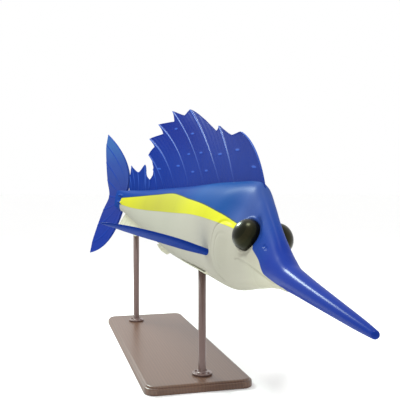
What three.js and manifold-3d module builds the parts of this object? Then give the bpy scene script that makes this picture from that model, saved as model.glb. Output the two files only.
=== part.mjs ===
// A life-size sailfish, held still in mid swim on a plain display stand.
//
// The fish is shaped along a straight axis first. There s runs from the tip of the lower jaw (0) towards
// the tail, y to the fish's left and z up, all as shares of the body length. Every finished solid is then
// bent to the pose. Millimetres, +Z up. The fish heads +X, and the origin is the centre of the underside
// of the stand's base.

import * as THREE from 'three';
import { mergeVertices } from 'three/addons/utils/BufferGeometryUtils.js';
import Module from 'manifold-3d';

const wasm = await Module();
wasm.setup();

const { degToRad, lerp, clamp, smoothstep } = THREE.MathUtils;

// Driving dimensions. LENGTH is measured from the tip of the lower jaw to the fork of the tail.
const LENGTH = 1800;
const GAP = 0.3;
const ROUND = 32;

// Pose: the front half is straight and dips to the bill, the rear half sweeps to the fish's right.
const POSE_MIDDLE = 0.45;
const HEAD_PITCH = degToRad(-9);
const HEAD_REACH = 0.4;
const TAIL_PITCH = degToRad(-2);
const TAIL_YAW = degToRad(23.5);
const TAIL_REACH = 0.5;
const TAIL_EASE = 1.3;
const BANK = degToRad(-9);

// Where one length of the body ends and the next starts.
const BILL_TIP = -0.2;
const BILL_ROUNDING = 0.004;
const BILL_END = 0.12;
const HEAD_START = 0;
const TORSO_START = 0.205;
const TORSO_MIDDLE = 0.5;
const STALK_START = 0.845;
const STALK_END = 0.995;

// Body outline: height of the back and the belly, half the width, and height of the widest line.
const back = curveThrough([
  [-0.2, -0.0023], [-0.17, -0.0014], [-0.07, -0.0011], [0, 0.0002], [0.03, 0.0075], [0.06, 0.0205],
  [0.1, 0.0415], [0.135, 0.062], [0.17, 0.0785], [0.2, 0.0772], [0.25, 0.0725], [0.32, 0.067],
  [0.41, 0.062], [0.52, 0.0575], [0.63, 0.0515], [0.73, 0.0445], [0.81, 0.036], [0.94, 0.0245],
  [0.995, 0.022],
]);
const belly = curveThrough([
  [-0.2, -0.0107], [-0.17, -0.0146], [-0.12, -0.0198], [-0.07, -0.0249], [0, -0.0325],
  [0.006, -0.0343], [0.02, -0.0365], [0.055, -0.0455], [0.105, -0.0615], [0.2, -0.0885],
  [0.3, -0.0955], [0.45, -0.0995], [0.6, -0.0955], [0.7, -0.0845], [0.79, -0.0685], [0.86, -0.054],
  [0.9, -0.045], [0.94, -0.034], [0.995, -0.026],
]);
const halfWidth = curveThrough([
  [-0.2, 0.0042], [-0.17, 0.0066], [-0.12, 0.0094], [-0.07, 0.0119], [-0.025, 0.0143], [0, 0.0155],
  [0.05, 0.0194], [0.105, 0.0275], [0.16, 0.0362], [0.22, 0.0415], [0.3, 0.0425], [0.45, 0.0415],
  [0.6, 0.036], [0.75, 0.0275], [0.86, 0.0195], [0.94, 0.0135], [0.995, 0.004],
]);
const FULLNESS = 0.9;
const FULL_FROM = 0.1;

// Above its widest line the head is drawn in by this share, between the stations named here.
const FOREHEAD = { share: 0.3, from: 0.02, full: 0.1, past: 0.17, to: 0.26, height: 0.6 };
const widest = curveThrough([
  [-0.2, -0.0065], [-0.07, -0.013], [0, -0.0162], [0.05, -0.0135], [0.12, -0.01], [0.2, -0.009],
  [0.45, -0.011], [0.75, -0.01], [0.94, -0.003], [0.995, 0],
]);

// Head: eye, mouth, nostrils and gill covers.
const EYE = { s: 0.126, z: 0.0087, radius: 42, depth: 38, sunk: 6, rim: 42.6, rimThick: 2.6 };
const EYE_SEGMENTS = { around: 20, high: 12, rim: 5 };
const MOUTH = [[-0.02, -0.0325], [0.03, -0.0315], [0.08, -0.0285], [0.13, -0.0275]];
const JAW_REAR = [[0.142, -0.04], [0.152, -0.058], [0.15, -0.09]];
const JAW_BELOW = -0.12;
const MOUTH_GROOVE = { height: 2.4, depth: 4 };
const NOSTRILS = [{ s: 0.067, z: 0.004, radius: 3.2 }, { s: 0.073, z: 0.005, radius: 4.2 }];
const NOSTRIL_STRETCH = 1.4;
const GILL_COVER = {
  s: 0.187, z: -0.03, length: 0.046, height: 0.042, roundness: 0.8, proud: 2, thick: 9, inner: 18,
};

// Tail stalk: two low keels on each side.
const KEEL = { s: 0.962, y: 0.0105, z: 0.009, radii: [32, 9, 4] };

// Colours and finishes.
const BLUE = { color: 0x3457b2, roughness: 0.3, metalness: 0 };
const WHITE = { color: 0xd9d6c8, roughness: 0.35, metalness: 0 };
const DARK = { color: 0x14120e, roughness: 0.08, metalness: 0 };
const WOOD = { color: 0x5a3d2b, roughness: 0.45, metalness: 0 };
const ROD = { color: 0x6b5550, roughness: 0.4, metalness: 0.6 };

// Stand: the base is centred on the origin and the fish's middle stands over FISH_AT.
const BASE = { length: 1100, width: 360, height: 28, corner: 40, bevel: 5 };
const FISH_AT = { x: 384, y: 55, z: 550 };
const STAND_ROD = { radius: 13, flangeRadius: 34, flangeHeight: 7, chamfer: 2, fillet: 6 };
const FRONT_ROD = { s: 0.41, aside: 0, into: 20 };
const REAR_ROD = { s: 0.895, aside: 18, into: 45 };

// A smooth curve through hand-set points that never swings past them.
function curveThrough(points) {
  const last = points.length - 1;
  const rise = (i) => (points[i + 1][1] - points[i][1]) / (points[i + 1][0] - points[i][0]);
  const slopes = points.map((_, i) => {
    if (i === 0) return rise(0);
    if (i === last) return rise(last - 1);
    const before = rise(i - 1);
    const after = rise(i);
    return before * after <= 0 ? 0 : 2 / (1 / before + 1 / after);
  });
  return (x) => {
    let i = 0;
    while (i < last - 1 && x > points[i + 1][0]) i += 1;
    const width = points[i + 1][0] - points[i][0];
    const t = clamp((x - points[i][0]) / width, 0, 1);
    const end = t * t * (3 - 2 * t);
    return points[i][1] * (1 - end) + points[i + 1][1] * end
      + width * t * (1 - t) * (slopes[i] * (1 - t) - slopes[i + 1] * t);
  };
}

// The body's surface

// A point on the skin at station s and angle a, counted from the fish's left over its back, moved
// outwards by out millimetres. The bill is round, the body a little fuller than an ellipse, the forehead
// narrower than one, and the bill's tip is rounded off.
function skinPoint(s, a, out = 0) {
  const tip = clamp((s - BILL_TIP) / BILL_ROUNDING, 0, 1);
  const shrink = Math.max(Math.sqrt(1 - (1 - tip) ** 2), BILL_END);
  const power = lerp(1, FULLNESS, clamp(s / FULL_FROM, 0, 1));
  const across = Math.cos(a);
  const up = Math.sin(a);
  const middle = widest(s);
  const reach = (up >= 0 ? back(s) - middle : middle - belly(s)) * LENGTH * shrink + out;
  const half = halfWidth(s) * LENGTH * shrink + out;
  const lift = Math.sign(up) * Math.abs(up) ** power;
  const { share, from, full, past, to, height } = FOREHEAD;
  const onHead = smoothstep(s, from, full) * (1 - smoothstep(s, past, to));
  const drawnIn = share * onHead * smoothstep(lift, 0, height);
  return new THREE.Vector3(
    -s * LENGTH,
    half * Math.sign(across) * Math.abs(across) ** power * (1 - drawnIn),
    middle * LENGTH + reach * lift,
  );
}

// Stations from one end of a body length to the other, evenly spaced.
function stations(from, to, count) {
  return Array.from({ length: count }, (_, i) => lerp(from, to, i / (count - 1)));
}

// A solid through rings of points, closed by a fan over its first and its last ring.
function loft(rings) {
  const around = rings[0].length;
  const triangles = [];
  for (let r = 0; r < rings.length - 1; r += 1) {
    for (let i = 0; i < around; i += 1) {
      const a = r * around + i;
      const b = r * around + (i + 1) % around;
      triangles.push(a, b, b + around, a, b + around, a + around);
    }
  }
  const lastRing = (rings.length - 1) * around;
  for (let i = 1; i < around - 1; i += 1) {
    triangles.push(0, i + 1, i, lastRing, lastRing + i, lastRing + i + 1);
  }
  return closedSolid(rings.flat(), triangles);
}

// The body between the given stations, thicker all round by out millimetres.
function bodySolid(along, out = 0) {
  return loft(along.map((s) => (
    Array.from({ length: ROUND }, (_, i) => skinPoint(s, (i / ROUND) * 2 * Math.PI, out))
  )));
}

const HALF_GAP = GAP / 2 / LENGTH;
const BILL_STATIONS = [
  ...[0, 0.1, 0.35, 1].map((share) => BILL_TIP + BILL_ROUNDING * share),
  ...stations(-0.17, HEAD_START - HALF_GAP, 6),
];
const HEAD_STATIONS = [HEAD_START + HALF_GAP, 0.003, 0.007, 0.014, ...stations(0.025, 0.2, 8),
  TORSO_START - HALF_GAP];
const FRONT_STATIONS = stations(TORSO_START + HALF_GAP, TORSO_MIDDLE - HALF_GAP, 8);
const REAR_STATIONS = stations(TORSO_MIDDLE + HALF_GAP, STALK_START - HALF_GAP, 11);
const STALK_STATIONS = stations(STALK_START + HALF_GAP, STALK_END, 7);
const BODY_STATIONS = [...BILL_STATIONS, ...HEAD_STATIONS, ...FRONT_STATIONS, ...REAR_STATIONS,
  ...STALK_STATIONS];

// Solids

// A solid from points and triangle corners. If it came out inside out, every triangle is turned over.
function closedSolid(points, triangles) {
  let volume = 0;
  const corner = new THREE.Vector3();
  for (let i = 0; i < triangles.length; i += 3) {
    corner.crossVectors(points[triangles[i]], points[triangles[i + 1]]);
    volume += corner.dot(points[triangles[i + 2]]);
  }
  const outward = volume > 0 ? triangles : triangles.slice().reverse();
  return new wasm.Manifold(new wasm.Mesh({
    numProp: 3,
    vertProperties: new Float32Array(points.flatMap((p) => [p.x, p.y, p.z])),
    triVerts: new Uint32Array(outward),
  }));
}

// A solid from one of three's closed geometries.
function geometrySolid(geometry) {
  geometry.deleteAttribute('normal');
  geometry.deleteAttribute('uv');
  const merged = mergeVertices(geometry, 1e-4);
  const place = merged.attributes.position;
  const points = Array.from({ length: place.count }, (_, i) => (
    new THREE.Vector3().fromBufferAttribute(place, i)
  ));
  const triangles = [];
  const index = merged.index.array;
  for (let i = 0; i < index.length; i += 3) {
    const [a, b, c] = index.slice(i, i + 3);
    if (a !== b && b !== c && c !== a) triangles.push(a, b, c);
  }
  return closedSolid(points, triangles);
}

// A shape drawn in the side view, with x forward and y up, extruded over part of the width.
function sidePrism(shape, from, to) {
  const geometry = new THREE.ExtrudeGeometry(shape, {
    depth: to - from, bevelEnabled: false, curveSegments: 2,
  });
  geometry.rotateX(Math.PI / 2);
  geometry.translate(0, to, 0);
  return geometrySolid(geometry);
}

function ellipsoid(radii, centre, segments) {
  const geometry = new THREE.SphereGeometry(1, segments, Math.round(segments * 0.6));
  geometry.scale(...radii);
  geometry.translate(...centre);
  return geometrySolid(geometry);
}

// Pose

function heading(s) {
  const forward = clamp((POSE_MIDDLE - s) / HEAD_REACH, 0, 1);
  const backward = clamp((s - POSE_MIDDLE) / TAIL_REACH, 0, 1) ** TAIL_EASE;
  return { pitch: HEAD_PITCH * forward + TAIL_PITCH * backward, yaw: TAIL_YAW * backward };
}

function headingVector(s) {
  const { pitch, yaw } = heading(s);
  return new THREE.Vector3(
    Math.cos(pitch) * Math.cos(yaw), Math.cos(pitch) * Math.sin(yaw), Math.sin(pitch),
  );
}

// Places along the bent axis, one for each small step, measured from the pose's middle.
const AXIS_FIRST = -0.25;
const AXIS_STEP = 0.001;
const AXIS_COUNT = 1451;
const axisPlaces = [new THREE.Vector3()];
for (let i = 1; i < AXIS_COUNT; i += 1) {
  const s = AXIS_FIRST + (i - 0.5) * AXIS_STEP;
  axisPlaces.push(axisPlaces[i - 1].clone().addScaledVector(headingVector(s), -AXIS_STEP * LENGTH));
}
const axisMiddle = axisPlace(POSE_MIDDLE);

function axisPlace(s) {
  const at = clamp((s - AXIS_FIRST) / AXIS_STEP, 0, AXIS_COUNT - 1.001);
  const i = Math.floor(at);
  return axisPlaces[i].clone().lerp(axisPlaces[i + 1], at - i);
}

// A point of the straight fish moved to where the bent fish has it.
function posed(point) {
  const s = -point.x / LENGTH;
  const { yaw } = heading(s);
  const left = new THREE.Vector3(-Math.sin(yaw), Math.cos(yaw), 0);
  const up = headingVector(s).cross(left);
  return axisPlace(s).sub(axisMiddle).addScaledVector(left, point.y).addScaledVector(up, point.z);
}

const fish = new THREE.Group();
fish.rotation.x = BANK;
fish.position.set(FISH_AT.x, FISH_AT.y, FISH_AT.z);
fish.updateMatrix();

// A cut leaves slivers where facets cross near their corners. Every edge under SHORTEST_EDGE is drawn
// together, and the long edge of every triangle lower than LOWEST_TRIANGLE is turned to its other two
// corners, wherever the surface stays closed.
const SHORTEST_EDGE = 0.1;
const LOWEST_TRIANGLE = 0.02;

function withoutSlivers({ points, triangles }) {
  const faces = new Set();
  const facesAt = points.map(() => new Set());
  const addFace = (...face) => {
    faces.add(face);
    for (const corner of face) facesAt[corner].add(face);
  };
  const removeFace = (face) => {
    faces.delete(face);
    for (const corner of face) facesAt[corner].delete(face);
  };
  const neighbours = (corner) => {
    const found = new Set([...facesAt[corner]].flat());
    found.delete(corner);
    return found;
  };
  const height = ([a, b, c]) => {
    const sides = [[a, b], [b, c], [c, a]].map(([p, q]) => points[p].distanceTo(points[q]));
    return new THREE.Triangle(points[a], points[b], points[c]).getArea() * 2 / Math.max(...sides);
  };
  const drawTogether = (kept, dropped) => {
    const around = neighbours(kept);
    const shared = [...neighbours(dropped)].filter((corner) => around.has(corner));
    if (shared.length !== 2) return false;
    for (const face of [...facesAt[dropped]]) {
      removeFace(face);
      if (!face.includes(kept)) addFace(...face.map((corner) => (corner === dropped ? kept : corner)));
    }
    return true;
  };
  const turn = (face) => {
    const lengths = face.map((corner, i) => points[corner].distanceTo(points[face[(i + 1) % 3]]));
    const i = lengths.indexOf(Math.max(...lengths));
    const [a, b, c] = [face[i], face[(i + 1) % 3], face[(i + 2) % 3]];
    const other = [...facesAt[a]].find((f) => f !== face && f.includes(b));
    const d = other.find((corner) => corner !== a && corner !== b);
    const lowest = Math.min(height([a, d, c]), height([d, b, c]));
    if (neighbours(c).has(d) || lowest <= height(face)) return false;
    removeFace(face);
    removeFace(other);
    addFace(a, d, c);
    addFace(d, b, c);
    return true;
  };
  for (let i = 0; i < triangles.length; i += 3) addFace(...triangles.slice(i, i + 3));
  for (let changed = true; changed;) {
    changed = false;
    for (const face of [...faces]) {
      if (!faces.has(face)) continue;
      const short = [0, 1, 2].map((i) => [face[i], face[(i + 1) % 3]])
        .find(([p, q]) => points[p].distanceTo(points[q]) < SHORTEST_EDGE);
      if (short && drawTogether(...short)) changed = true;
      else if (height(face) < LOWEST_TRIANGLE && turn(face)) changed = true;
    }
  }
  const used = [...new Set([...faces].flat())];
  const place = new Map(used.map((corner, i) => [corner, i]));
  return {
    points: used.map((corner) => points[corner]),
    triangles: [...faces].flat().map((corner) => place.get(corner)),
  };
}

// The largest closed surface of a solid as its points and triangles.
function largestSurface(solid) {
  const pieces = solid.decompose();
  const largest = pieces.reduce((a, b) => (b.volume() > a.volume() ? b : a));
  const { vertProperties, triVerts, numProp } = largest.getMesh();
  const points = [];
  for (let i = 0; i < vertProperties.length; i += numProp) {
    points.push(new THREE.Vector3(vertProperties[i], vertProperties[i + 1], vertProperties[i + 2]));
  }
  return withoutSlivers({ points, triangles: Array.from(triVerts) });
}

function namedMesh(name, { points, triangles }, finish) {
  const geometry = new THREE.BufferGeometry();
  geometry.setAttribute('position', new THREE.Float32BufferAttribute(
    points.flatMap((p) => [p.x, p.y, p.z]), 3,
  ));
  geometry.setIndex(triangles);
  geometry.computeVertexNormals();
  const mesh = new THREE.Mesh(geometry, new THREE.MeshStandardMaterial(finish));
  mesh.name = name;
  return mesh;
}

// Adds a part of the fish, bent to the pose.
function addToFish(name, solid, finish) {
  const { points, triangles } = largestSurface(solid);
  fish.add(namedMesh(name, { points: points.map(posed), triangles }, finish));
}

// Head

// The angle round the body at which its skin at station s has the height z.
function angleAtHeight(s, z) {
  let low = -Math.PI / 2;
  let high = Math.PI / 2;
  for (let i = 0; i < 30; i += 1) {
    const a = (low + high) / 2;
    if (skinPoint(s, a).z < z * LENGTH) low = a;
    else high = a;
  }
  return low;
}

// A shape placed at (s, z) on one flank, with its own y axis square to the skin.
function onSkin(geometry, s, z, side, out) {
  const a = angleAtHeight(s, z);
  const place = skinPoint(s, a);
  const along = skinPoint(s - 0.004, a).sub(skinPoint(s + 0.004, a)).normalize();
  const around = skinPoint(s, a + 0.02).sub(skinPoint(s, a - 0.02)).normalize();
  const outward = new THREE.Vector3().crossVectors(around, along).normalize();
  const upward = new THREE.Vector3().crossVectors(along, outward);
  const frame = new THREE.Matrix4().makeBasis(along, outward, upward)
    .setPosition(place.addScaledVector(outward, out));
  geometry.applyMatrix4(frame);
  if (side < 0) geometry.scale(1, -1, 1);
  return geometrySolid(geometry);
}

function eyeSolid(side, out = 0) {
  const geometry = new THREE.SphereGeometry(1, EYE_SEGMENTS.around, EYE_SEGMENTS.high);
  geometry.scale(EYE.radius + out, EYE.depth + out, EYE.radius + out);
  return onSkin(geometry, EYE.s, EYE.z, side, -EYE.sunk);
}

// The low rim of skin round the eye.
function eyeRim(side) {
  const geometry = new THREE.TorusGeometry(
    EYE.rim, EYE.rimThick, EYE_SEGMENTS.rim, EYE_SEGMENTS.around,
  );
  geometry.rotateX(Math.PI / 2);
  return onSkin(geometry, EYE.s, EYE.z, side, -EYE.rimThick / 2);
}

// The side view of the lower jaw: its top is the line of the mouth and its rear edge slopes back.
function jawShape(grow) {
  const at = ([s, z]) => new THREE.Vector2(-s * LENGTH - Math.sign(s) * grow, z * LENGTH + grow);
  const [front, ...line] = [...MOUTH, ...JAW_REAR].map(at);
  const below = JAW_BELOW * LENGTH;
  const shape = new THREE.Shape();
  shape.moveTo(front.x, front.y);
  shape.splineThru(line);
  shape.lineTo(line[line.length - 1].x, below);
  shape.lineTo(front.x, below);
  return shape;
}

const FULL_WIDTH = 120;

// The body's inner surfaces, under the mouth groove and the gill covers, need few stations.
const INNER_STATIONS = stations(HEAD_START, 0.3, 7);

function jawPrism(grow = 0) {
  return sidePrism(jawShape(grow), -FULL_WIDTH, FULL_WIDTH);
}

// A groove along the mouth that sets off the lips.
function mouthGroove() {
  const line = jawPrism(MOUTH_GROOVE.height).subtract(jawPrism(0));
  return line.subtract(bodySolid(INNER_STATIONS, -MOUTH_GROOVE.depth));
}

function nostrils(side) {
  return NOSTRILS.map(({ s, z, radius }) => {
    const geometry = new THREE.SphereGeometry(radius, 8, 4);
    geometry.scale(NOSTRIL_STRETCH, 1, 1);
    return onSkin(geometry, s, z, side, 0);
  });
}

// The side view of a gill cover: an oval, fuller than an ellipse.
function gillShape(grow) {
  const count = 24;
  const points = Array.from({ length: count }, (_, i) => {
    const a = (i / count) * 2 * Math.PI;
    const across = Math.sign(Math.cos(a)) * Math.abs(Math.cos(a)) ** GILL_COVER.roundness;
    const up = Math.sign(Math.sin(a)) * Math.abs(Math.sin(a)) ** GILL_COVER.roundness;
    return new THREE.Vector2(
      -GILL_COVER.s * LENGTH + (GILL_COVER.length * LENGTH + grow) * across,
      GILL_COVER.z * LENGTH + (GILL_COVER.height * LENGTH + grow) * up,
    );
  });
  return new THREE.Shape(points);
}

function gillPrism(side, grow = 0) {
  return side > 0
    ? sidePrism(gillShape(grow), GILL_COVER.inner, FULL_WIDTH)
    : sidePrism(gillShape(grow), -FULL_WIDTH, -GILL_COVER.inner);
}

function gillPocket(side) {
  return gillPrism(side, GAP).subtract(bodySolid(INNER_STATIONS, -GILL_COVER.thick - GAP));
}

function gillCover(side) {
  return gillPrism(side)
    .intersect(bodySolid([...HEAD_STATIONS, ...FRONT_STATIONS], GILL_COVER.proud))
    .subtract(bodySolid(INNER_STATIONS, -GILL_COVER.thick));
}

function bill() {
  return bodySolid(BILL_STATIONS);
}

function head() {
  let solid = bodySolid(HEAD_STATIONS);
  for (const side of [-1, 1]) solid = solid.add(eyeRim(side));
  solid = solid.subtract(jawPrism(GAP)).subtract(mouthGroove());
  for (const side of [-1, 1]) {
    solid = solid.subtract(eyeSolid(side, GAP)).subtract(gillPocket(side));
    for (const hole of nostrils(side)) solid = solid.subtract(hole);
  }
  return solid;
}

function lowerJaw() {
  let solid = bodySolid(HEAD_STATIONS).intersect(jawPrism(0));
  for (const side of [-1, 1]) solid = solid.subtract(gillPocket(side));
  return solid;
}

// Torso and tail stalk

function torsoFront() {
  let solid = bodySolid(FRONT_STATIONS);
  for (const side of [-1, 1]) solid = solid.subtract(gillPocket(side));
  return solid;
}

// Two low keels on each side of the stalk, just ahead of the tail fin.
function tailStalk() {
  let solid = bodySolid(STALK_STATIONS);
  for (const side of [-1, 1]) {
    for (const z of [-KEEL.z, KEEL.z]) {
      const centre = [-KEEL.s * LENGTH, side * KEEL.y * LENGTH, z * LENGTH];
      solid = solid.add(ellipsoid(KEEL.radii, centre, 8));
    }
  }
  return solid;
}

// Fins
//
// A fin is a closed grid. Its columns run out along the rays and its rows from the root to the margin,
// with the same triangles on both faces. place(u, v) is the middle of the fin, half(u, v) half its
// thickness, and facing the direction across it.
function finGrid({ columns, rows, place, half, facing }) {
  const points = [];
  for (const side of [-1, 1]) {
    for (const u of columns) {
      for (const v of rows) {
        points.push(place(u, v).addScaledVector(facing, side * half(u, v)));
      }
    }
  }
  const wide = columns.length;
  const tall = rows.length;
  const at = (side, c, r) => (side * wide + c) * tall + r;
  const triangles = [];
  for (let c = 0; c < wide - 1; c += 1) {
    for (let r = 0; r < tall - 1; r += 1) {
      triangles.push(at(0, c, r), at(0, c + 1, r), at(0, c + 1, r + 1));
      triangles.push(at(0, c, r), at(0, c + 1, r + 1), at(0, c, r + 1));
      triangles.push(at(1, c, r), at(1, c + 1, r + 1), at(1, c + 1, r));
      triangles.push(at(1, c, r), at(1, c, r + 1), at(1, c + 1, r + 1));
    }
  }
  const edge = [];
  for (let c = 0; c < wide; c += 1) edge.push([c, 0]);
  for (let r = 1; r < tall; r += 1) edge.push([wide - 1, r]);
  for (let c = wide - 2; c >= 0; c -= 1) edge.push([c, tall - 1]);
  for (let r = tall - 2; r > 0; r -= 1) edge.push([0, r]);
  edge.forEach(([c, r], i) => {
    const [d, q] = edge[(i + 1) % edge.length];
    triangles.push(at(0, c, r), at(1, c, r), at(1, d, q));
    triangles.push(at(0, c, r), at(1, d, q), at(0, d, q));
  });
  return closedSolid(points, triangles);
}

// A ray runs from its root to its tip and bows away from the straight line by a share of its length, most
// at half its length, or nearer its root where lean is under 1.
function rayPoint(root, tip, bow, v, lean = 1) {
  const along = new THREE.Vector2().subVectors(tip, root);
  const across = new THREE.Vector2(along.y, -along.x);
  if (across.y < 0 && tip.y > root.y) across.negate();
  const bend = v ** lean;
  return root.clone().addScaledVector(along, v).addScaledVector(across, bow * 4 * bend * (1 - bend));
}

// The middle surface of a fin in the fish's middle plane, from guide rays. Each guide gives its root's
// station, its tip as s and z, and its bow. roots(s) is the height that a ray starts from.
function guidedFin(guides, roots, margin) {
  const column = (pick) => curveThrough(guides.map((guide, i) => [i, pick(guide)]));
  const rootS = column((g) => g.root);
  const tipS = column((g) => g.tip[0]);
  const tipZ = column((g) => g.tip[1]);
  const bow = column((g) => g.bow);
  return (u, v) => {
    const s = rootS(u);
    const root = new THREE.Vector2(-s, roots(s));
    const tip = new THREE.Vector2(-tipS(u), tipZ(u));
    const point = rayPoint(root, tip, bow(u), v * margin(u));
    return new THREE.Vector3(point.x * LENGTH, 0, point.y * LENGTH);
  };
}

// Columns for rays set evenly between guide rays: a crest on each ray and a foot on both sides of it.
function rayColumns(intervals, raysBetween) {
  const step = 1 / (raysBetween + 1);
  const count = intervals * (raysBetween + 1);
  const columns = [0];
  for (let i = 0; i < count; i += 1) {
    columns.push((i + RAY_FOOT) * step, (i + 1 - RAY_FOOT) * step, (i + 1) * step);
  }
  return columns;
}

// A ray's crest is this high at its tip, half through the fin. A membrane thins by TIP_THIN to its margin.
const MAIN_RAY_TIP = 1.6;
const RAY_TIP = 1.1;
const TIP_THIN = 0.6;
const THINNEST = 0.5;

const RAY_FOOT = 0.26;
const SUNK = 12 / LENGTH;
const ACROSS = new THREE.Vector3(0, 1, 0);
const fitted = bodySolid(BODY_STATIONS, GAP);

// Half the thickness of a ridged membrane at (u, v). A ridge stands on every ray and thins to its tip.
function membrane({ raysBetween, thin, ray, mainRay }) {
  return (u, v) => {
    const place = u * (raysBetween + 1);
    const onRay = Math.abs(place - Math.round(place)) < 1e-6;
    if (!onRay) return lerp(thin, Math.max(thin * TIP_THIN, THINNEST), v);
    const main = Math.abs(u - Math.round(u)) < 1e-6;
    return main ? lerp(mainRay, MAIN_RAY_TIP, v) : lerp(ray, RAY_TIP, v);
  };
}

// The sail's guide rays. Behind each one its margin drops into a notch, at a share of the way to the
// next, and climbs again to that one's tip.
const SAIL_GUIDES = [
  { root: 0.138, tip: [0.31, 0.156], bow: 0.08, notchAt: 0.6, notch: 0.17 },
  { root: 0.295, tip: [0.458, 0.178], bow: 0.02, notchAt: 0.25, notch: 0.19 },
  { root: 0.375, tip: [0.663, 0.23], bow: 0.02, notchAt: 0.45, notch: 0.1 },
  { root: 0.48, tip: [0.772, 0.233], bow: 0.025, notchAt: 0.3, notch: 0.15 },
  { root: 0.585, tip: [0.852, 0.203], bow: 0.045, notchAt: 0.2, notch: 0.16 },
  { root: 0.675, tip: [0.879, 0.165], bow: 0.055, notchAt: 0.15, notch: 0.17 },
  { root: 0.74, tip: [0.865, 0.124], bow: 0.05, notchAt: 0.15, notch: 0.17 },
  { root: 0.785, tip: [0.832, 0.09], bow: 0.04, notchAt: 0.4, notch: 0.1 },
  { root: 0.83, tip: [0.839, 0.063], bow: 0, notchAt: 0.5, notch: 0 },
];
const SAIL_RIDGES = { raysBetween: 4, thin: 1.1, ray: 2.3, mainRay: 4 };

// The sail sways this far to the sides, in millimetres, turning by this much from each guide to the next.
const SAIL_WAVE = { swing: 7, turns: 1.9, fullHeight: 0.15 };

function sailMargin(u) {
  const guide = Math.floor(u + 1e-6);
  const { notchAt, notch } = SAIL_GUIDES[guide];
  const t = Math.max(u - guide, 0);
  return 1 - notch * (t < notchAt ? t / notchAt : (1 - t) / (1 - notchAt));
}

function sail() {
  const roots = (s) => back(s) - SUNK;
  const flat = guidedFin(SAIL_GUIDES, roots, sailMargin);
  return finGrid({
    columns: rayColumns(SAIL_GUIDES.length - 1, SAIL_RIDGES.raysBetween),
    rows: [0, 0.12, 0.32, 0.55, 0.78, 1],
    facing: ACROSS,
    place: (u, v) => {
      const point = flat(u, v);
      const height = point.z / LENGTH - back(-point.x / LENGTH);
      point.y = SAIL_WAVE.swing * Math.sin(u * SAIL_WAVE.turns)
        * clamp(height / SAIL_WAVE.fullHeight, 0, 1);
      return point;
    },
    half: membrane(SAIL_RIDGES),
  }).subtract(fitted);
}

const plainMargin = () => 1;

// A smaller fin in the middle plane, above the back or below the belly.
function middleFin(guides, roots, raysBetween) {
  return finGrid({
    columns: rayColumns(guides.length - 1, raysBetween),
    rows: [0, 0.3, 0.65, 1],
    facing: ACROSS,
    place: guidedFin(guides, roots, plainMargin),
    half: membrane({ raysBetween, thin: 1.2, ray: 2, mainRay: 2.8 }),
  }).subtract(fitted);
}

// It rises out of a low fold of skin that runs on from the sail.
function secondDorsalFin() {
  return middleFin([
    { root: 0.8325, tip: [0.8415, 0.062], bow: 0 },
    { root: 0.852, tip: [0.864, 0.073], bow: 0.04 },
    { root: 0.862, tip: [0.88, 0.098], bow: 0.06 },
    { root: 0.885, tip: [0.909, 0.077], bow: 0.04 },
    { root: 0.905, tip: [0.949, 0.091], bow: 0.06 },
    { root: 0.924, tip: [0.9465, 0.064], bow: 0.05 },
    { root: 0.936, tip: [0.9425, 0.044], bow: 0.02 },
  ], (s) => back(s) - SUNK, 1);
}

function firstAnalFin() {
  return middleFin([
    { root: 0.615, tip: [0.67, -0.1005], bow: 0.03 },
    { root: 0.64, tip: [0.705, -0.0975], bow: 0.03 },
    { root: 0.662, tip: [0.725, -0.092], bow: 0.03 },
    { root: 0.682, tip: [0.74, -0.086], bow: 0.02 },
  ], (s) => belly(s) + SUNK, 2);
}

function secondAnalFin() {
  return middleFin([
    { root: 0.826, tip: [0.852, -0.079], bow: 0.05 },
    { root: 0.845, tip: [0.87, -0.085], bow: 0.05 },
    { root: 0.868, tip: [0.892, -0.08], bow: 0.04 },
    { root: 0.892, tip: [0.916, -0.0775], bow: 0.04 },
    { root: 0.915, tip: [0.941, -0.0765], bow: 0.04 },
    { root: 0.932, tip: [0.962, -0.073], bow: 0.03 },
  ], (s) => belly(s) + SUNK, 1);
}

const TAIL_RIDGES = { raysBetween: 2, thin: 3.2, ray: 4.4, mainRay: 5 };
const TAIL_TIP_THIN = 0.45;
const LEADING_EDGE = 1.5;

// One lobe of the tail fin. Its leading ray springs from the stalk's edge and its inner ray lies just off
// the middle line, so that the two lobes meet at the fork with a gap.
function tailLobe(guides, side, lean) {
  const rootS = curveThrough(guides.map((g, i) => [i, g.root]));
  const rootZ = curveThrough(guides.map((g, i) => [i, g.rootZ * side]));
  const tipS = curveThrough(guides.map((g, i) => [i, g.tip[0]]));
  const tipZ = curveThrough(guides.map((g, i) => [i, g.tip[1] * side]));
  const bow = curveThrough(guides.map((g, i) => [i, g.bow]));
  const half = membrane(TAIL_RIDGES);
  return finGrid({
    columns: rayColumns(guides.length - 1, TAIL_RIDGES.raysBetween),
    rows: [0, 0.16, 0.36, 0.58, 0.8, 1],
    facing: ACROSS,
    place: (u, v) => {
      const root = new THREE.Vector2(-rootS(u), rootZ(u));
      const tip = new THREE.Vector2(-tipS(u), tipZ(u));
      const point = rayPoint(root, tip, bow(u), v, lean);
      return new THREE.Vector3(point.x * LENGTH, 0, point.y * LENGTH * side);
    },
    half: (u, v) => half(u, v) * lerp(1, TAIL_TIP_THIN, v) + (u < 1e-6 ? LEADING_EDGE * (1 - v) : 0),
  }).subtract(fitted);
}

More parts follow.
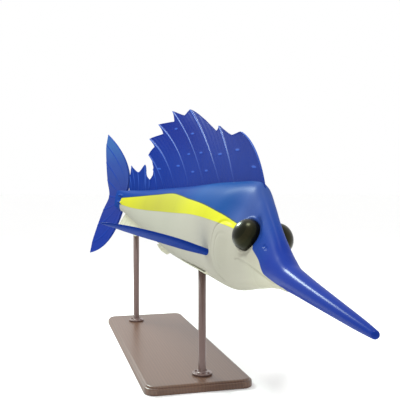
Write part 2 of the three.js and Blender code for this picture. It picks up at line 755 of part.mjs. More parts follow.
const MIDDLE_GAP = 0.0002;
const UPPER_LEAN = 0.6;
const LOWER_LEAN = 1;
const UPPER_LOBE = [
  { root: 0.955, rootZ: 0.012, tip: [1.1, 0.169], bow: 0.2 },
  { root: 0.962, rootZ: 0.01, tip: [1.1, 0.14], bow: 0.145 },
  { root: 0.968, rootZ: 0.008, tip: [1.083, 0.09], bow: 0.08 },
  { root: 0.974, rootZ: 0.005, tip: [1.06, 0.042], bow: 0.04 },
  { root: 0.98, rootZ: MIDDLE_GAP, tip: [1.036, MIDDLE_GAP], bow: 0 },
];
const LOWER_LOBE = [
  { root: 0.952, rootZ: -0.012, tip: [1.088, -0.167], bow: 0.16 },
  { root: 0.96, rootZ: -0.01, tip: [1.086, -0.137], bow: 0.12 },
  { root: 0.968, rootZ: -0.008, tip: [1.072, -0.087], bow: 0.07 },
  { root: 0.974, rootZ: -0.005, tip: [1.055, -0.041], bow: 0.04 },
  { root: 0.98, rootZ: -MIDDLE_GAP, tip: [1.036, -MIDDLE_GAP], bow: 0 },
];

// A pectoral fin held out like a wing: swept back from straight out, lifted above level and with its
// blade twisted about its own length. The left one is laid closer to the body.
const PECTORAL = {
  s: 0.26, z: -0.048, sunk: 0.14, length: 0.205, sickle: 0.02, rearShort: 0.12, intervals: 4,
};
const PECTORAL_RIDGES = { raysBetween: 1, thin: 2.2, ray: 3.2, mainRay: 4.2 };
const PECTORAL_THICKNESS = { root: 1.15, tip: 0.5, leading: 1.2 };
const PECTORAL_CHORD = curveThrough([[0, 0.023], [0.3, 0.041], [0.6, 0.035], [0.88, 0.018], [1, 0.003]]);
const PECTORAL_RIGHT = { sweep: degToRad(28.5), lift: degToRad(6.5), twist: degToRad(29) };
const PECTORAL_LEFT = { sweep: degToRad(52), lift: degToRad(-6), twist: degToRad(30) };

function pectoralFin(side) {
  const { sweep, lift, twist } = side > 0 ? PECTORAL_LEFT : PECTORAL_RIGHT;
  const outward = new THREE.Vector3(
    -Math.sin(sweep) * Math.cos(lift), side * Math.cos(sweep) * Math.cos(lift), Math.sin(lift),
  );
  const forward = new THREE.Vector3(Math.cos(sweep), side * Math.sin(sweep), 0)
    .applyAxisAngle(outward, -side * twist);
  const facing = new THREE.Vector3().crossVectors(outward, forward).normalize();
  const root = new THREE.Vector3(
    -PECTORAL.s * LENGTH,
    side * halfWidth(PECTORAL.s) * LENGTH * (1 - PECTORAL.sunk),
    PECTORAL.z * LENGTH,
  );
  const half = membrane(PECTORAL_RIDGES);
  const thickness = PECTORAL_THICKNESS;
  return finGrid({
    columns: rayColumns(PECTORAL.intervals, PECTORAL_RIDGES.raysBetween),
    rows: [0, 0.1, 0.28, 0.5, 0.72, 0.9, 1],
    facing,
    place: (u, v) => {
      const behind = u / PECTORAL.intervals;
      const across = 0.5 - behind;
      const reach = PECTORAL.length * LENGTH * v * (1 - PECTORAL.rearShort * behind ** 2 * v);
      const width = PECTORAL_CHORD(v) * LENGTH;
      const bend = -PECTORAL.sickle * LENGTH * v * v;
      return root.clone().addScaledVector(outward, reach - SUNK * LENGTH)
        .addScaledVector(forward, across * width + bend);
    },
    half: (u, v) => (
      half(u, v) * lerp(thickness.root, thickness.tip, v) * (u < 1e-6 ? thickness.leading : 1)
    ),
  }).subtract(fitted);
}

// A long thin pelvic fin laid back along the belly.
const PELVIC = {
  from: 0.272, to: 0.5, angle: degToRad(-62), sunk: 14, clear: 4.1, freeFrom: 0.14, chord: 15,
  tipChord: 0.3, ridge: 2, edge: 1.2, tipThin: 0.5,
};

function pelvicFin(side) {
  const angleAt = (a) => (side > 0 ? a : Math.PI - a);
  const facing = new THREE.Vector3(0, side * Math.cos(PELVIC.angle), Math.sin(PELVIC.angle));
  return finGrid({
    columns: [-1, -0.4, 0, 0.4, 1],
    rows: [0, 0.06, PELVIC.freeFrom, 0.3, 0.5, 0.75, 1],
    facing,
    place: (u, v) => {
      const s = lerp(PELVIC.from, PELVIC.to, v);
      const out = lerp(-PELVIC.sunk, PELVIC.clear, clamp(v / PELVIC.freeFrom, 0, 1));
      const middle = skinPoint(s, angleAt(PELVIC.angle), out);
      const along = new THREE.Vector3(0, -side * Math.sin(PELVIC.angle), Math.cos(PELVIC.angle));
      return middle.addScaledVector(along, u * (PELVIC.chord / 2) * lerp(1, PELVIC.tipChord, v));
    },
    half: (u, v) => (u === 0 ? PELVIC.ridge : PELVIC.edge) * lerp(1, PELVIC.tipThin, v),
  }).subtract(fitted);
}

// Stand

function standBase() {
  const { length, width, height, corner, bevel } = BASE;
  const x = length / 2 - bevel;
  const y = width / 2 - bevel;
  const r = corner - bevel;
  const outline = new THREE.Shape();
  outline.moveTo(-x + r, -y);
  outline.lineTo(x - r, -y);
  outline.absarc(x - r, -y + r, r, -Math.PI / 2, 0, false);
  outline.absarc(x - r, y - r, r, 0, Math.PI / 2, false);
  outline.absarc(-x + r, y - r, r, Math.PI / 2, Math.PI, false);
  outline.absarc(-x + r, -y + r, r, Math.PI, 1.5 * Math.PI, false);
  const geometry = new THREE.ExtrudeGeometry(outline, {
    depth: height - 2 * bevel,
    bevelThickness: bevel,
    bevelSize: bevel,
    bevelSegments: 1,
    curveSegments: 4,
  });
  geometry.translate(0, 0, bevel);
  return geometrySolid(geometry);
}

// A rod with a flanged foot under the belly at station s, set aside from its middle line and cut to
// its curve.
function standRod({ s, aside, into }) {
  const under = posed(new THREE.Vector3(-s * LENGTH, aside, belly(s) * LENGTH)).applyMatrix4(fish.matrix);
  const foot = BASE.height + GAP;
  const { radius, flangeRadius, flangeHeight, chamfer, fillet } = STAND_ROD;
  const top = under.z - foot + into;
  const profile = [
    [0, 0], [flangeRadius, 0], [flangeRadius, flangeHeight - chamfer],
    [flangeRadius - chamfer, flangeHeight], [radius + fillet, flangeHeight],
    [radius + fillet * 0.3, flangeHeight + fillet * 0.3], [radius, flangeHeight + fillet],
    [radius, top], [0, top],
  ].map(([r, z]) => new THREE.Vector2(r, z));
  const geometry = new THREE.LatheGeometry(profile, 24);
  geometry.rotateX(Math.PI / 2);
  geometry.translate(under.x, under.y, foot);
  const { points, triangles } = largestSurface(fitted);
  const inPlace = points.map((point) => posed(point).applyMatrix4(fish.matrix));
  return geometrySolid(geometry).subtract(closedSolid(inPlace, triangles));
}

// The whole object

addToFish('bill', bill(), BLUE);
addToFish('head', head(), BLUE);
addToFish('lower_jaw', lowerJaw(), WHITE);
addToFish('torso_front', torsoFront(), WHITE);
addToFish('torso_rear', bodySolid(REAR_STATIONS), WHITE);
addToFish('tail_stalk', tailStalk(), WHITE);
addToFish('sail', sail(), BLUE);
addToFish('second_dorsal_fin', secondDorsalFin(), BLUE);
addToFish('first_anal_fin', firstAnalFin(), WHITE);
addToFish('second_anal_fin', secondAnalFin(), WHITE);
addToFish('tail_fin_upper', tailLobe(UPPER_LOBE, 1, UPPER_LEAN), BLUE);
addToFish('tail_fin_lower', tailLobe(LOWER_LOBE, -1, LOWER_LEAN), BLUE);
for (const [side, label] of [[1, 'left'], [-1, 'right']]) {
  addToFish(`eye_${label}`, eyeSolid(side), DARK);
  addToFish(`gill_cover_${label}`, gillCover(side), WHITE);
  addToFish(`pectoral_fin_${label}`, pectoralFin(side), BLUE);
  addToFish(`pelvic_fin_${label}`, pelvicFin(side), WHITE);
}

const sailfish = new THREE.Group();
sailfish.add(fish);
sailfish.add(namedMesh('stand_base', largestSurface(standBase()), WOOD));
sailfish.add(namedMesh('stand_rod_front', largestSurface(standRod(FRONT_ROD)), ROD));
sailfish.add(namedMesh('stand_rod_rear', largestSurface(standRod(REAR_ROD)), ROD));

export default sailfish;
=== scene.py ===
"""A life-size sailfish on a wooden display stand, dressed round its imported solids.

The fish is shaped along a straight axis first. There s, the station, runs from the tip of the lower
jaw (0) towards the tail as a share of the body length, x is minus s times the length, y points to the
fish's left and z up. Curves give heights and widths as shares of the length too. Every finished surface
is then bent to the pose. Metres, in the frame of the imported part.
"""

import math

import bpy
import numpy as np
from bpy.props import FloatProperty, FloatVectorProperty, PointerProperty
from mathutils import Matrix, Vector


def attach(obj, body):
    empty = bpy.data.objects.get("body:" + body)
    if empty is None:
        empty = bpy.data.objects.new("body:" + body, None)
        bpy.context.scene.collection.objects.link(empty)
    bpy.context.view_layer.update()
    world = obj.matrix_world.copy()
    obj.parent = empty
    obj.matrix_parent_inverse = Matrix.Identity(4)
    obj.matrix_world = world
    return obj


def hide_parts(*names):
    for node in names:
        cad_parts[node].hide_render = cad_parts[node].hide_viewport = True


bl_info = {
    "name": "Sailfish on a stand",
    "version": (1, 0, 0),
    "blender": (4, 5, 0),
    "location": "View3D > Sidebar > Sailfish",
    "description": "Builds a life-size sailfish on its display stand",
    "category": "Add Mesh",
}

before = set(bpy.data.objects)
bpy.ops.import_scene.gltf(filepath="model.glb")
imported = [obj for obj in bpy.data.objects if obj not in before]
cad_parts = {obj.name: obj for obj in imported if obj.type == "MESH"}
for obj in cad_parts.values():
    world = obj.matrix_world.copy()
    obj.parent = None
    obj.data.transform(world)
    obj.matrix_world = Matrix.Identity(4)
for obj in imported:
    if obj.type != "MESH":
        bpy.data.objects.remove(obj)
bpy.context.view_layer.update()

# Driving dimensions. LENGTH is measured from the tip of the lower jaw to the fork of the tail.
LENGTH = 1.8
MM = 0.001
SUNK = 12 * MM

# Pose: the front half is straight and dips to the bill, the rear half sweeps to the fish's right.
POSE_MIDDLE = 0.45
HEAD_PITCH = math.radians(-9)
HEAD_REACH = 0.4
TAIL_PITCH = math.radians(-2)
TAIL_YAW = math.radians(23.5)
TAIL_REACH = 0.5
TAIL_EASE = 1.3
BANK = math.radians(-9)
FISH_AT = np.array([0.384, 0.055, 0.55])

BILL_TIP = -0.2
BILL_ROUNDING = 0.004
STALK_END = 0.995
SKIN_END = 0.999
FULLNESS = 0.9
FULL_FROM = 0.1

# Above its widest line the head is drawn in by this share, between the stations named here.
FOREHEAD = {"share": 0.3, "from": 0.02, "full": 0.1, "past": 0.17, "to": 0.26, "height": 0.6}
EYE = {
    "s": 0.126, "z": 0.0087, "radius": 42 * MM, "depth": 38 * MM, "sunk": 6 * MM, "rings": 49,
    "around": 72,
}

# The gill cover is an oval of this power, raised by so many millimetres, with a line at a share of its
# size.
GILL_COVER = {
    "s": 0.187, "z": -0.03, "length": 0.046, "height": 0.042, "power": 2.5, "raised": 2.6, "line": 0.6,
}

# A keel's height is in millimetres.
KEEL = {"s": 0.962, "z": 0.009, "length": 32 * MM, "thick": 4.5 * MM, "height": 7}
NOSTRILS = [(0.067, 0.004), (0.074, 0.0052)]


def curve_through(points):
    """A smooth curve through given points that never swings past them.

    Each piece is a cubic, and the slope at a point is the harmonic mean of the rises on both sides of
    it, or zero where they turn.
    """
    x, y = np.array(points, float).T
    rise = np.diff(y) / np.diff(x)
    before, after = rise[:-1], rise[1:]
    same_way = before * after > 0
    mean = np.where(same_way, 2 * before * after / np.where(same_way, before + after, 1), 0)
    slope = np.concatenate([rise[:1], mean, rise[-1:]])

    def at(t):
        t = np.asarray(t, float)
        i = np.clip(np.searchsorted(x, t, side="right") - 1, 0, len(x) - 2)
        width = x[i + 1] - x[i]
        u = np.clip((t - x[i]) / width, 0, 1)
        end = u * u * (3 - 2 * u)
        bend = width * u * (1 - u) * (slope[i] * (1 - u) - slope[i + 1] * u)
        return y[i] * (1 - end) + y[i + 1] * end + bend

    return at


back = curve_through([
    (-0.2, -0.0023), (-0.17, -0.0014), (-0.07, -0.0011), (0, 0.0002), (0.03, 0.0075), (0.06, 0.0205),
    (0.1, 0.0415), (0.135, 0.062), (0.17, 0.0785), (0.2, 0.0772), (0.25, 0.0725), (0.32, 0.067),
    (0.41, 0.062), (0.52, 0.0575), (0.63, 0.0515), (0.73, 0.0445), (0.81, 0.036), (0.94, 0.0245),
    (0.995, 0.022),
])
belly = curve_through([
    (-0.2, -0.0107), (-0.17, -0.0146), (-0.12, -0.0198), (-0.07, -0.0249), (0, -0.0325),
    (0.006, -0.0343), (0.02, -0.0365), (0.055, -0.0455), (0.105, -0.0615), (0.2, -0.0885),
    (0.3, -0.0955), (0.45, -0.0995), (0.6, -0.0955), (0.7, -0.0845), (0.79, -0.0685), (0.86, -0.054),
    (0.9, -0.045), (0.94, -0.034), (0.995, -0.026),
])
half_width = curve_through([
    (-0.2, 0.0042), (-0.17, 0.0066), (-0.12, 0.0094), (-0.07, 0.0119), (-0.025, 0.0143), (0, 0.0155),
    (0.05, 0.0194), (0.105, 0.0275), (0.16, 0.0362), (0.22, 0.0415), (0.3, 0.0425), (0.45, 0.0415),
    (0.6, 0.036), (0.75, 0.0275), (0.86, 0.0195), (0.94, 0.0135), (0.995, 0.004),
])
widest = curve_through([
    (-0.2, -0.0065), (-0.07, -0.013), (0, -0.0162), (0.05, -0.0135), (0.12, -0.01), (0.2, -0.009),
    (0.45, -0.011), (0.75, -0.01), (0.94, -0.003), (0.995, 0),
])

# Paint: the yellow band's two edges and the upper edge of the pale underside, along the flank.
band_top = curve_through([
    (0.1, 0.0135), (0.14, 0.0152), (0.1702, 0.0168), (0.2253, 0.0209), (0.2972, 0.0236),
    (0.4369, 0.0279), (0.5442, 0.0338), (0.6111, 0.0364), (0.7499, 0.0271), (0.8443, 0.017),
    (0.9457, 0.0037),
])
band_low = curve_through([
    (0.1, 0.0085), (0.14, 0.0084), (0.1781, 0.0078), (0.2224, 0.0064), (0.2853, 0.0042),
    (0.4418, -0.0001), (0.6692, -0.0071), (0.8069, -0.0133), (0.8896, -0.0156), (0.9388, -0.0144),
])
pale_top = curve_through([
    (-0.014, -0.0375), (-0.002, -0.0284), (0.0236, -0.0292), (0.0511, -0.028), (0.0718, -0.0134),
    (0.0984, -0.0036), (0.126, 0.0084), (0.1781, 0.0078), (0.2224, 0.0064), (0.2853, 0.0042),
    (0.4418, -0.0001), (0.6692, -0.0071), (0.8069, -0.0133), (0.8896, -0.0156), (0.96, -0.0144),
])
BAND_END = 0.9536
BAND_START = 0.12
PALE_START = -0.014
PALE_END = 0.958

# The line over the band, in millimetres: half its width, how far over the band's edge its middle lies
# and how far before the band's end it stops.
BAND_LINE = {"half": 1.6, "over": 1, "short": 6}


def smooth_step(low, high, value):
    """Rises from 0 at low to 1 at high with level ends."""
    t = np.clip((value - low) / (high - low), 0, 1)
    return t * t * (3 - 2 * t)


def full_turn(count):
    """Angles evenly round a full turn, as one row."""
    return (np.arange(count) / count * 2 * math.pi)[None, :]


def unit(vectors):
    """Vectors drawn to length 1. Those without a length stay as they are."""
    return vectors / np.maximum(np.linalg.norm(vectors, axis=-1, keepdims=True), 1e-9)


def hump(distance, width):
    """A bell of height 1 at distance 0, down to about a third at width."""
    return np.exp(-((distance / width) ** 2))


def skin_point(s, a, out=0.0):
    """A point of the skin at station s and angle a, counted from the fish's left over its back.

    A section is an ellipse raised to a power a little under 1, which makes it fuller, with its own
    half width, back and belly. The head's upper part is drawn in by a smooth step over its height. The
    bill's tip and the stalk's end round off as a quarter circle.
    """
    s, a = np.broadcast_arrays(np.asarray(s, float), np.asarray(a, float))
    tip = np.clip((s - BILL_TIP) / BILL_ROUNDING, 0, 1)
    end = np.clip((SKIN_END - s) / (SKIN_END - STALK_END), 0, 1)
    shrink = np.sqrt((1 - (1 - tip) ** 2) * (1 - (1 - end) ** 2))
    power = 1 - (1 - FULLNESS) * np.clip(s / FULL_FROM, 0, 1)
    across, up = np.cos(a), np.sin(a)
    middle = widest(s)
    reach = np.where(up >= 0, back(s) - middle, middle - belly(s)) * LENGTH * shrink + out
    half = half_width(s) * LENGTH * shrink + out
    lift = np.sign(up) * np.abs(up) ** power
    on_head = smooth_step(FOREHEAD["from"], FOREHEAD["full"], s)
    on_head = on_head * (1 - smooth_step(FOREHEAD["past"], FOREHEAD["to"], s))
    drawn_in = FOREHEAD["share"] * on_head * smooth_step(0, FOREHEAD["height"], lift)
    return np.stack([
        -s * LENGTH,
        half * np.sign(across) * np.abs(across) ** power * (1 - drawn_in),
        middle * LENGTH + reach * lift,
    ], -1)


def heading(s):
    """Pitch and yaw of the bent axis at station s."""
    forward = np.clip((POSE_MIDDLE - s) / HEAD_REACH, 0, 1)
    backward = np.clip((s - POSE_MIDDLE) / TAIL_REACH, 0, 1) ** TAIL_EASE
    return HEAD_PITCH * forward + TAIL_PITCH * backward, TAIL_YAW * backward


def heading_vector(s):
    """The direction that the bent axis runs forward in."""
    pitch, yaw = heading(s)
    return np.stack([np.cos(pitch) * np.cos(yaw), np.cos(pitch) * np.sin(yaw), np.sin(pitch)], -1)


AXIS_FIRST = -0.25
AXIS_STEP = 0.001
AXIS_COUNT = 1451
_steps = heading_vector(AXIS_FIRST + (np.arange(1, AXIS_COUNT) - 0.5) * AXIS_STEP)
_axis_places = np.concatenate([np.zeros((1, 3)), np.cumsum(-AXIS_STEP * LENGTH * _steps, 0)])


def axis_place(s):
    """The place on the bent axis at station s: the sum of the headings up to it."""
    at = np.clip((s - AXIS_FIRST) / AXIS_STEP, 0, AXIS_COUNT - 1.001)
    i = np.floor(at).astype(int)
    part = (at - i)[..., None]
    return _axis_places[i] * (1 - part) + _axis_places[i + 1] * part


def posed(points):
    """Points of the straight fish moved to where the bent, banked fish has them."""
    s = -points[..., 0] / LENGTH
    _, yaw = heading(s)
    left = np.stack([-np.sin(yaw), np.cos(yaw), 0 * yaw], -1)
    up = np.cross(heading_vector(s), left)
    bent = axis_place(s) - axis_place(np.array(POSE_MIDDLE))
    bent = bent + left * points[..., 1:2] + up * points[..., 2:3]
    turn = np.array(Matrix.Rotation(BANK, 3, "X"))
    return bent @ turn.T + FISH_AT


# A place on the flank is found by halving an angle this often, and its axes from points this far off.
HALVINGS = 30
NEAR = {"s": 0.004, "angle": 0.02}


def skin_frame(s, z):
    """Place and axes (along, outward, upward) on the left flank's skin at station s and height z."""
    low, high = -math.pi / 2, math.pi / 2
    for _ in range(HALVINGS):
        a = (low + high) / 2
        if skin_point(s, a)[2] < z * LENGTH:
            low = a
        else:
            high = a
    along = unit(skin_point(s - NEAR["s"], low) - skin_point(s + NEAR["s"], low))
    around = skin_point(s, low + NEAR["angle"]) - skin_point(s, low - NEAR["angle"])
    outward = unit(np.cross(around, along))
    return skin_point(s, low), along, outward, np.cross(along, outward)


def eye_frame():
    """The left eyeball's centre, sunk under the skin, and its axes (along, outward, upward)."""
    centre, along, outward, upward = skin_frame(EYE["s"], EYE["z"])
    return centre - outward * EYE["sunk"], along, outward, upward


def line_distance(x, z, points):
    """Distance in the side view from each (x, z) to a chain of straight pieces."""
    best = np.full(x.shape, np.inf)
    for (x0, z0), (x1, z1) in zip(points, points[1:]):
        along = ((x - x0) * (x1 - x0) + (z - z0) * (z1 - z0)) / ((x1 - x0) ** 2 + (z1 - z0) ** 2)
        t = np.clip(along, 0, 1)
        best = np.minimum(best, np.hypot(x - x0 - t * (x1 - x0), z - z0 - t * (z1 - z0)))
    return best


# Meshes


def closed_tube(rings):
    """Vertices and faces of a tube whose first and last rings are drawn together to one point each."""
    rows, around = rings.shape[:2]
    inner = 1 + np.arange((rows - 2) * around).reshape(rows - 2, around)
    turned = np.roll(inner, -1, 1)
    quads = np.stack([inner[:-1], inner[1:], turned[1:], turned[:-1]], -1).reshape(-1, 4)
    last = np.full(around, 1 + inner.size)
    first_fan = np.stack([0 * last, inner[0], turned[0]], -1)
    last_fan = np.stack([last, turned[-1], inner[-1]], -1)
    vertices = np.concatenate([
        rings[:1].mean(1), rings[1:-1].reshape(inner.size, -1), rings[-1:].mean(1),
    ])
    return vertices, [quads, np.concatenate([first_fan, last_fan])]


def closed_fin(left, right):
    """Vertices and faces of a fin from its two sides, grids of one size that share their border."""
    count = left.shape[0] * left.shape[1]
    a = np.arange(count).reshape(left.shape[:2])
    border = np.ones(a.shape, bool)
    border[1:-1, 1:-1] = False
    b = np.where(border, a, a + count)
    quads = [
        np.stack([g[:-1, :-1], g[1:, :-1], g[1:, 1:], g[:-1, 1:]], -1).reshape(-1, 4) for g in (a, b)
    ]
    faces = np.concatenate([quads[0], quads[1][:, ::-1]])
    used, faces = np.unique(faces, return_inverse=True)
    vertices = np.concatenate([left.reshape(count, -1), right.reshape(count, -1)])[used]
    return vertices, [faces.reshape(-1, 4)]


def facing_out(places, faces):
    """The faces, turned over where the volume inside them, the sum of a . (b x c) / 6, is negative."""
    corners = [group[:, [0, i, i + 1]] for group in faces for i in range(1, group.shape[1] - 1)]
    a, b, c = places[np.concatenate(corners)].transpose(1, 0, 2)
    inside_out = np.einsum("ij,ij->", a, np.cross(b, c)) < 0
    return [group[:, ::-1] if inside_out else group for group in faces]


def add_piece(name, values, faces, material, slot, nodes=(), fields=()):
    """Adds a mesh to the part. A vertex's values are its place, then a number for every field."""
    places = values[:, :3]
    mesh = bpy.data.meshes.new(name)
    faces = facing_out(places, faces)
    mesh.from_pydata(places.tolist(), [], [face for group in faces for face in group.tolist()])
    mesh.polygons.foreach_set("use_smooth", np.ones(len(mesh.polygons), bool))
    for i, field in enumerate(fields):
        layer = mesh.attributes.new(field, "FLOAT", "POINT")
        layer.data.foreach_set("value", values[:, 3 + i].astype(np.float32))
    mesh.materials.append(material)
    piece = bpy.data.objects.new(name, mesh)
    bpy.context.scene.collection.objects.link(piece)
    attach(piece, "root")
    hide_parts(*nodes)


def fish_values(points, fields=()):
    """Posed points with their fields and, as the last three, their places in the straight fish."""
    layers = [np.broadcast_to(field, points.shape[:-1])[..., None] for field in fields]
    return np.concatenate([posed(points), *layers, points], -1)


STRAIGHT = ("straight_x", "straight_y", "straight_z")


# Materials


def linear(code):
    """An sRGB hex colour as linear red, green, blue."""
    shares = [int(code[i:i + 2], 16) / 255 for i in (1, 3, 5)]
    return tuple(c / 12.92 if c <= 0.04045 else ((c + 0.055) / 1.055) ** 2.4 for c in shares)


def add_node(tree, kind, inputs=None, **settings):
    """Adds a node. inputs gives values or other nodes' outputs by socket name or number."""
    node = tree.nodes.new("ShaderNode" + kind)
    for key, value in settings.items():
        setattr(node, key, value)
    for key, value in (inputs or {}).items():
        if isinstance(value, bpy.types.NodeSocket):
            tree.links.new(value, node.inputs[key])
        else:
            node.inputs[key].default_value = value
    return node


def new_material(name):
    """An empty node material, its tree and its shader."""
    material = bpy.data.materials.new(name)
    material.use_nodes = True
    tree = material.node_tree
    tree.nodes.clear()
    shader = add_node(tree, "BsdfPrincipled")
    add_node(tree, "OutputMaterial", {"Surface": shader.outputs[0]})
    return material, tree, shader


def set_finish(tree, shader, colour, bump=None, **gloss):
    """Links a colour and a bump to the shader and sets its own values.

    Spaces in the values' names are written as underscores.
    """
    tree.links.new(colour, shader.inputs["Base Color"])
    if bump is not None:
        tree.links.new(bump, shader.inputs["Normal"])
    for name, value in gloss.items():
        shader.inputs[name.replace("_", " ")].default_value = value


def attribute(tree, name):
    """A value kept at the mesh's vertices."""
    return add_node(tree, "Attribute", attribute_name=name).outputs["Fac"]


def object_place(tree):
    """The place in the object's own axes."""
    return add_node(tree, "TexCoord").outputs["Object"]


def straight_place(tree):
    """The place in the straight fish, so that a pattern follows the body round its bend."""
    parts = [attribute(tree, name) for name in STRAIGHT]
    return add_node(tree, "CombineXYZ", dict(zip("XYZ", parts))).outputs[0]


def stretched(tree, place, per_metre):
    """A place counted in a pattern's lengths, so many to the metre along x, y and z."""
    return add_node(tree, "Mapping", {"Vector": place, "Scale": per_metre}).outputs[0]


def noise(tree, place, detail, size=1.0):
    """A noise with patches of about size, in the units of place."""
    inputs = {"Vector": place, "Scale": 1 / size, "Detail": detail}
    return add_node(tree, "TexNoise", inputs).outputs[0]


def pressed(tree, pattern, depth, strength, under=None):
    """The bump of a pattern that is depth metres high, laid over the bump under it."""
    inputs = {"Height": pattern, "Distance": depth, "Strength": strength}
    if under is not None:
        inputs["Normal"] = under
    return add_node(tree, "Bump", inputs).outputs[0]


def rgba(colour):
    """A linear colour with its alpha."""
    return (*colour, 1)


def shaded(colour, factor):
    """A linear colour made darker or lighter by factor."""
    return tuple(min(c * factor, 1) for c in colour)


def painted(tree, below, above, mask, **settings):
    """One paint over another where mask is 1."""
    inputs = {0: mask, 6: below, 7: above}
    return add_node(tree, "Mix", inputs, data_type="RGBA", **settings).outputs[2]


def colour_ramp(tree, value, stops):
    """A colour that changes with a value from 0 to 1. Stops are (value, linear colour)."""
    node = add_node(tree, "ValToRGB", {"Fac": value})
    elements = node.color_ramp.elements
    for element, (at, colour) in ((elements[0], stops[0]), (elements[1], stops[-1])):
        element.position = at
        element.color = rgba(colour)
    for at, colour in stops[1:-1]:
        elements.new(at).color = rgba(colour)
    return node.outputs[0]


def along_field(tree, field, start, end, low=0.0, high=1.0, **settings):
    """A value that runs from low to high as a field runs from start to end."""
    return add_node(tree, "MapRange", {
        "Value": attribute(tree, field), "From Min": start, "From Max": end, "To Min": low,
        "To Max": high,
    }, **settings).outputs[0]


# How far, in millimetres, a paint's sprayed edge fades to each side of where its field is zero.
SOFT_EDGES = {"pale": 1.6, "yellow": 1.2, "band_line": 1, "spot": 1}


def field_mask(tree, field):
    """0 to 1 as a paint's field in millimetres rises through zero, over its soft edge."""
    soft = SOFT_EDGES[field]
    return along_field(tree, field, -soft, soft, interpolation_type="SMOOTHSTEP")


# The size of the patches over which a coat's colour drifts, in metres, and by what share it drifts.
CLOUDS = {
    "blue": (0.12, 0.07), "pale": (0.2, 0.04), "yellow": (0.1, 0.04), "fin": (0.07, 0.09),
    "lacquer": (0.05, 0.06), "floor": (0.6, 0.01),
}


def clouded(tree, place, colour, cloud):
    """A sprayed coat: its colour drifts a little from patch to patch."""
    size, depth = CLOUDS[cloud]
    darker, lighter = rgba(shaded(colour, 1 - depth)), rgba(shaded(colour, 1 + depth))
    return painted(tree, darker, lighter, noise(tree, place, 3, size))


def graded(tree, coat, field, stops):
    """A coat multiplied by a colour that changes along a field. Stops are (field value, colour)."""
    first, last = stops[0][0], stops[-1][0]
    shares = [((at - first) / (last - first), colour) for at, colour in stops]
    tone = colour_ramp(tree, along_field(tree, field, first, last), shares)
    return painted(tree, coat, tone, 1.0, blend_type="MULTIPLY")


def along_fish(*tones):
    """Stops along straight_x from (station, colour) pairs, stations counted as in the curves."""
    return [(-station * LENGTH, colour) for station, colour in tones]


# Shades of the paints along the fish, matched under this stage's own lamps. The blue is painted paler
# over the nape, painted light from above, and deeper just behind it, painted shade that offsets the
# window lamp's sheen there; it deepens towards bill and tail. The pale side dulls behind the head, and
# the band is painted brightest at the eye and duller along its middle, painted shade.
BLUE_PAINTED_LIGHT_AND_SHADE = along_fish(
    (-0.2, (0, 0.3, 0.84)), (0.045, (0.05, 0.34, 0.92)), (0.085, (0.3, 0.64, 0.99)),
    (0.15, (0.9, 0.95, 0.94)), (0.22, (0.1, 0.72, 0.85)), (0.384, (0.1, 0.75, 0.85)),
    (0.55, (0.05, 0.4, 0.7)),
)
PALE_TONES = along_fish(
    (0.05, (1, 1, 1)), (0.09, (0.9, 0.9, 0.92)), (0.12, (0.84, 0.83, 0.88)), (0.2, (0.76, 0.75, 0.8)),
    (0.28, (0.79, 0.77, 0.84)), (0.6, (0.7, 0.7, 0.76)),
)
YELLOW_PAINTED_SHADE = along_fish(
    (0.15, (1, 1, 0.5)), (0.3, (0.9, 0.88, 0.5)), (0.42, (0.82, 0.8, 0.65)), (0.55, (0.62, 0.6, 0.9)),
    (0.7, (0.56, 0.53, 0.95)), (0.8, (0.6, 0.57, 0.85)), (0.9, (0.75, 0.72, 0.6)),
)
# Along straight_z: the sail is painted darker towards its margin, painted shade that offsets the window
# lamp's sheen there, and the tail fin is painted paler towards its upper tip, painted light from above.
SAIL_PAINTED_SHADE = [
    (0.1, (0.82, 0.9, 1)), (0.2, (0.75, 0.88, 0.99)), (0.25, (0.4, 0.7, 0.93)),
    (0.31, (0.05, 0.52, 0.87)),
]
TAIL_PAINTED_LIGHT = [
    (-0.2, (0.2, 0.35, 0.8)), (-0.02, (0.5, 0.43, 0.72)), (0.08, (0.56, 0.56, 0.72)),
    (0.16, (0.62, 0.69, 0.83)), (0.25, (0.8, 1.1, 0.92)),
]

# Patterns, so many to the metre along x, y and z. A scale is about 14 mm long and 5 mm high, a wrinkle
# of a fin 3 mm long and 12 mm high, and a pore of the board 17 mm long and 1 mm across.
SCALES = (1 / 0.014, 1 / 0.005, 1 / 0.005)
WRINKLES = (1 / 0.003, 1 / 0.02, 1 / 0.012)
GRAIN = (1.2, 22, 22)
PORES = (60, 900, 900)

# Patches of finer patterns, in metres: the clear coat's orange peel, the eye's flecks and the grain of
# the lacquer.
PEEL = 0.002
FLECK = 0.004
SPRAY = 0.0015

# The bill is rubbed to a higher gloss than the back: from (station, value) to (station, value).
COAT_WEIGHTS = ((0.2, 0.035), (0.02, 0.3))
COAT_BLURS = ((0.17, 0.32), (0.02, 0.24))

# The eye from its front (0) to its back (1): where the pupil ends, the iris begins and ends, and the
# dark round it begins.
IRIS = (0.2, 0.22, 0.32, 0.36)


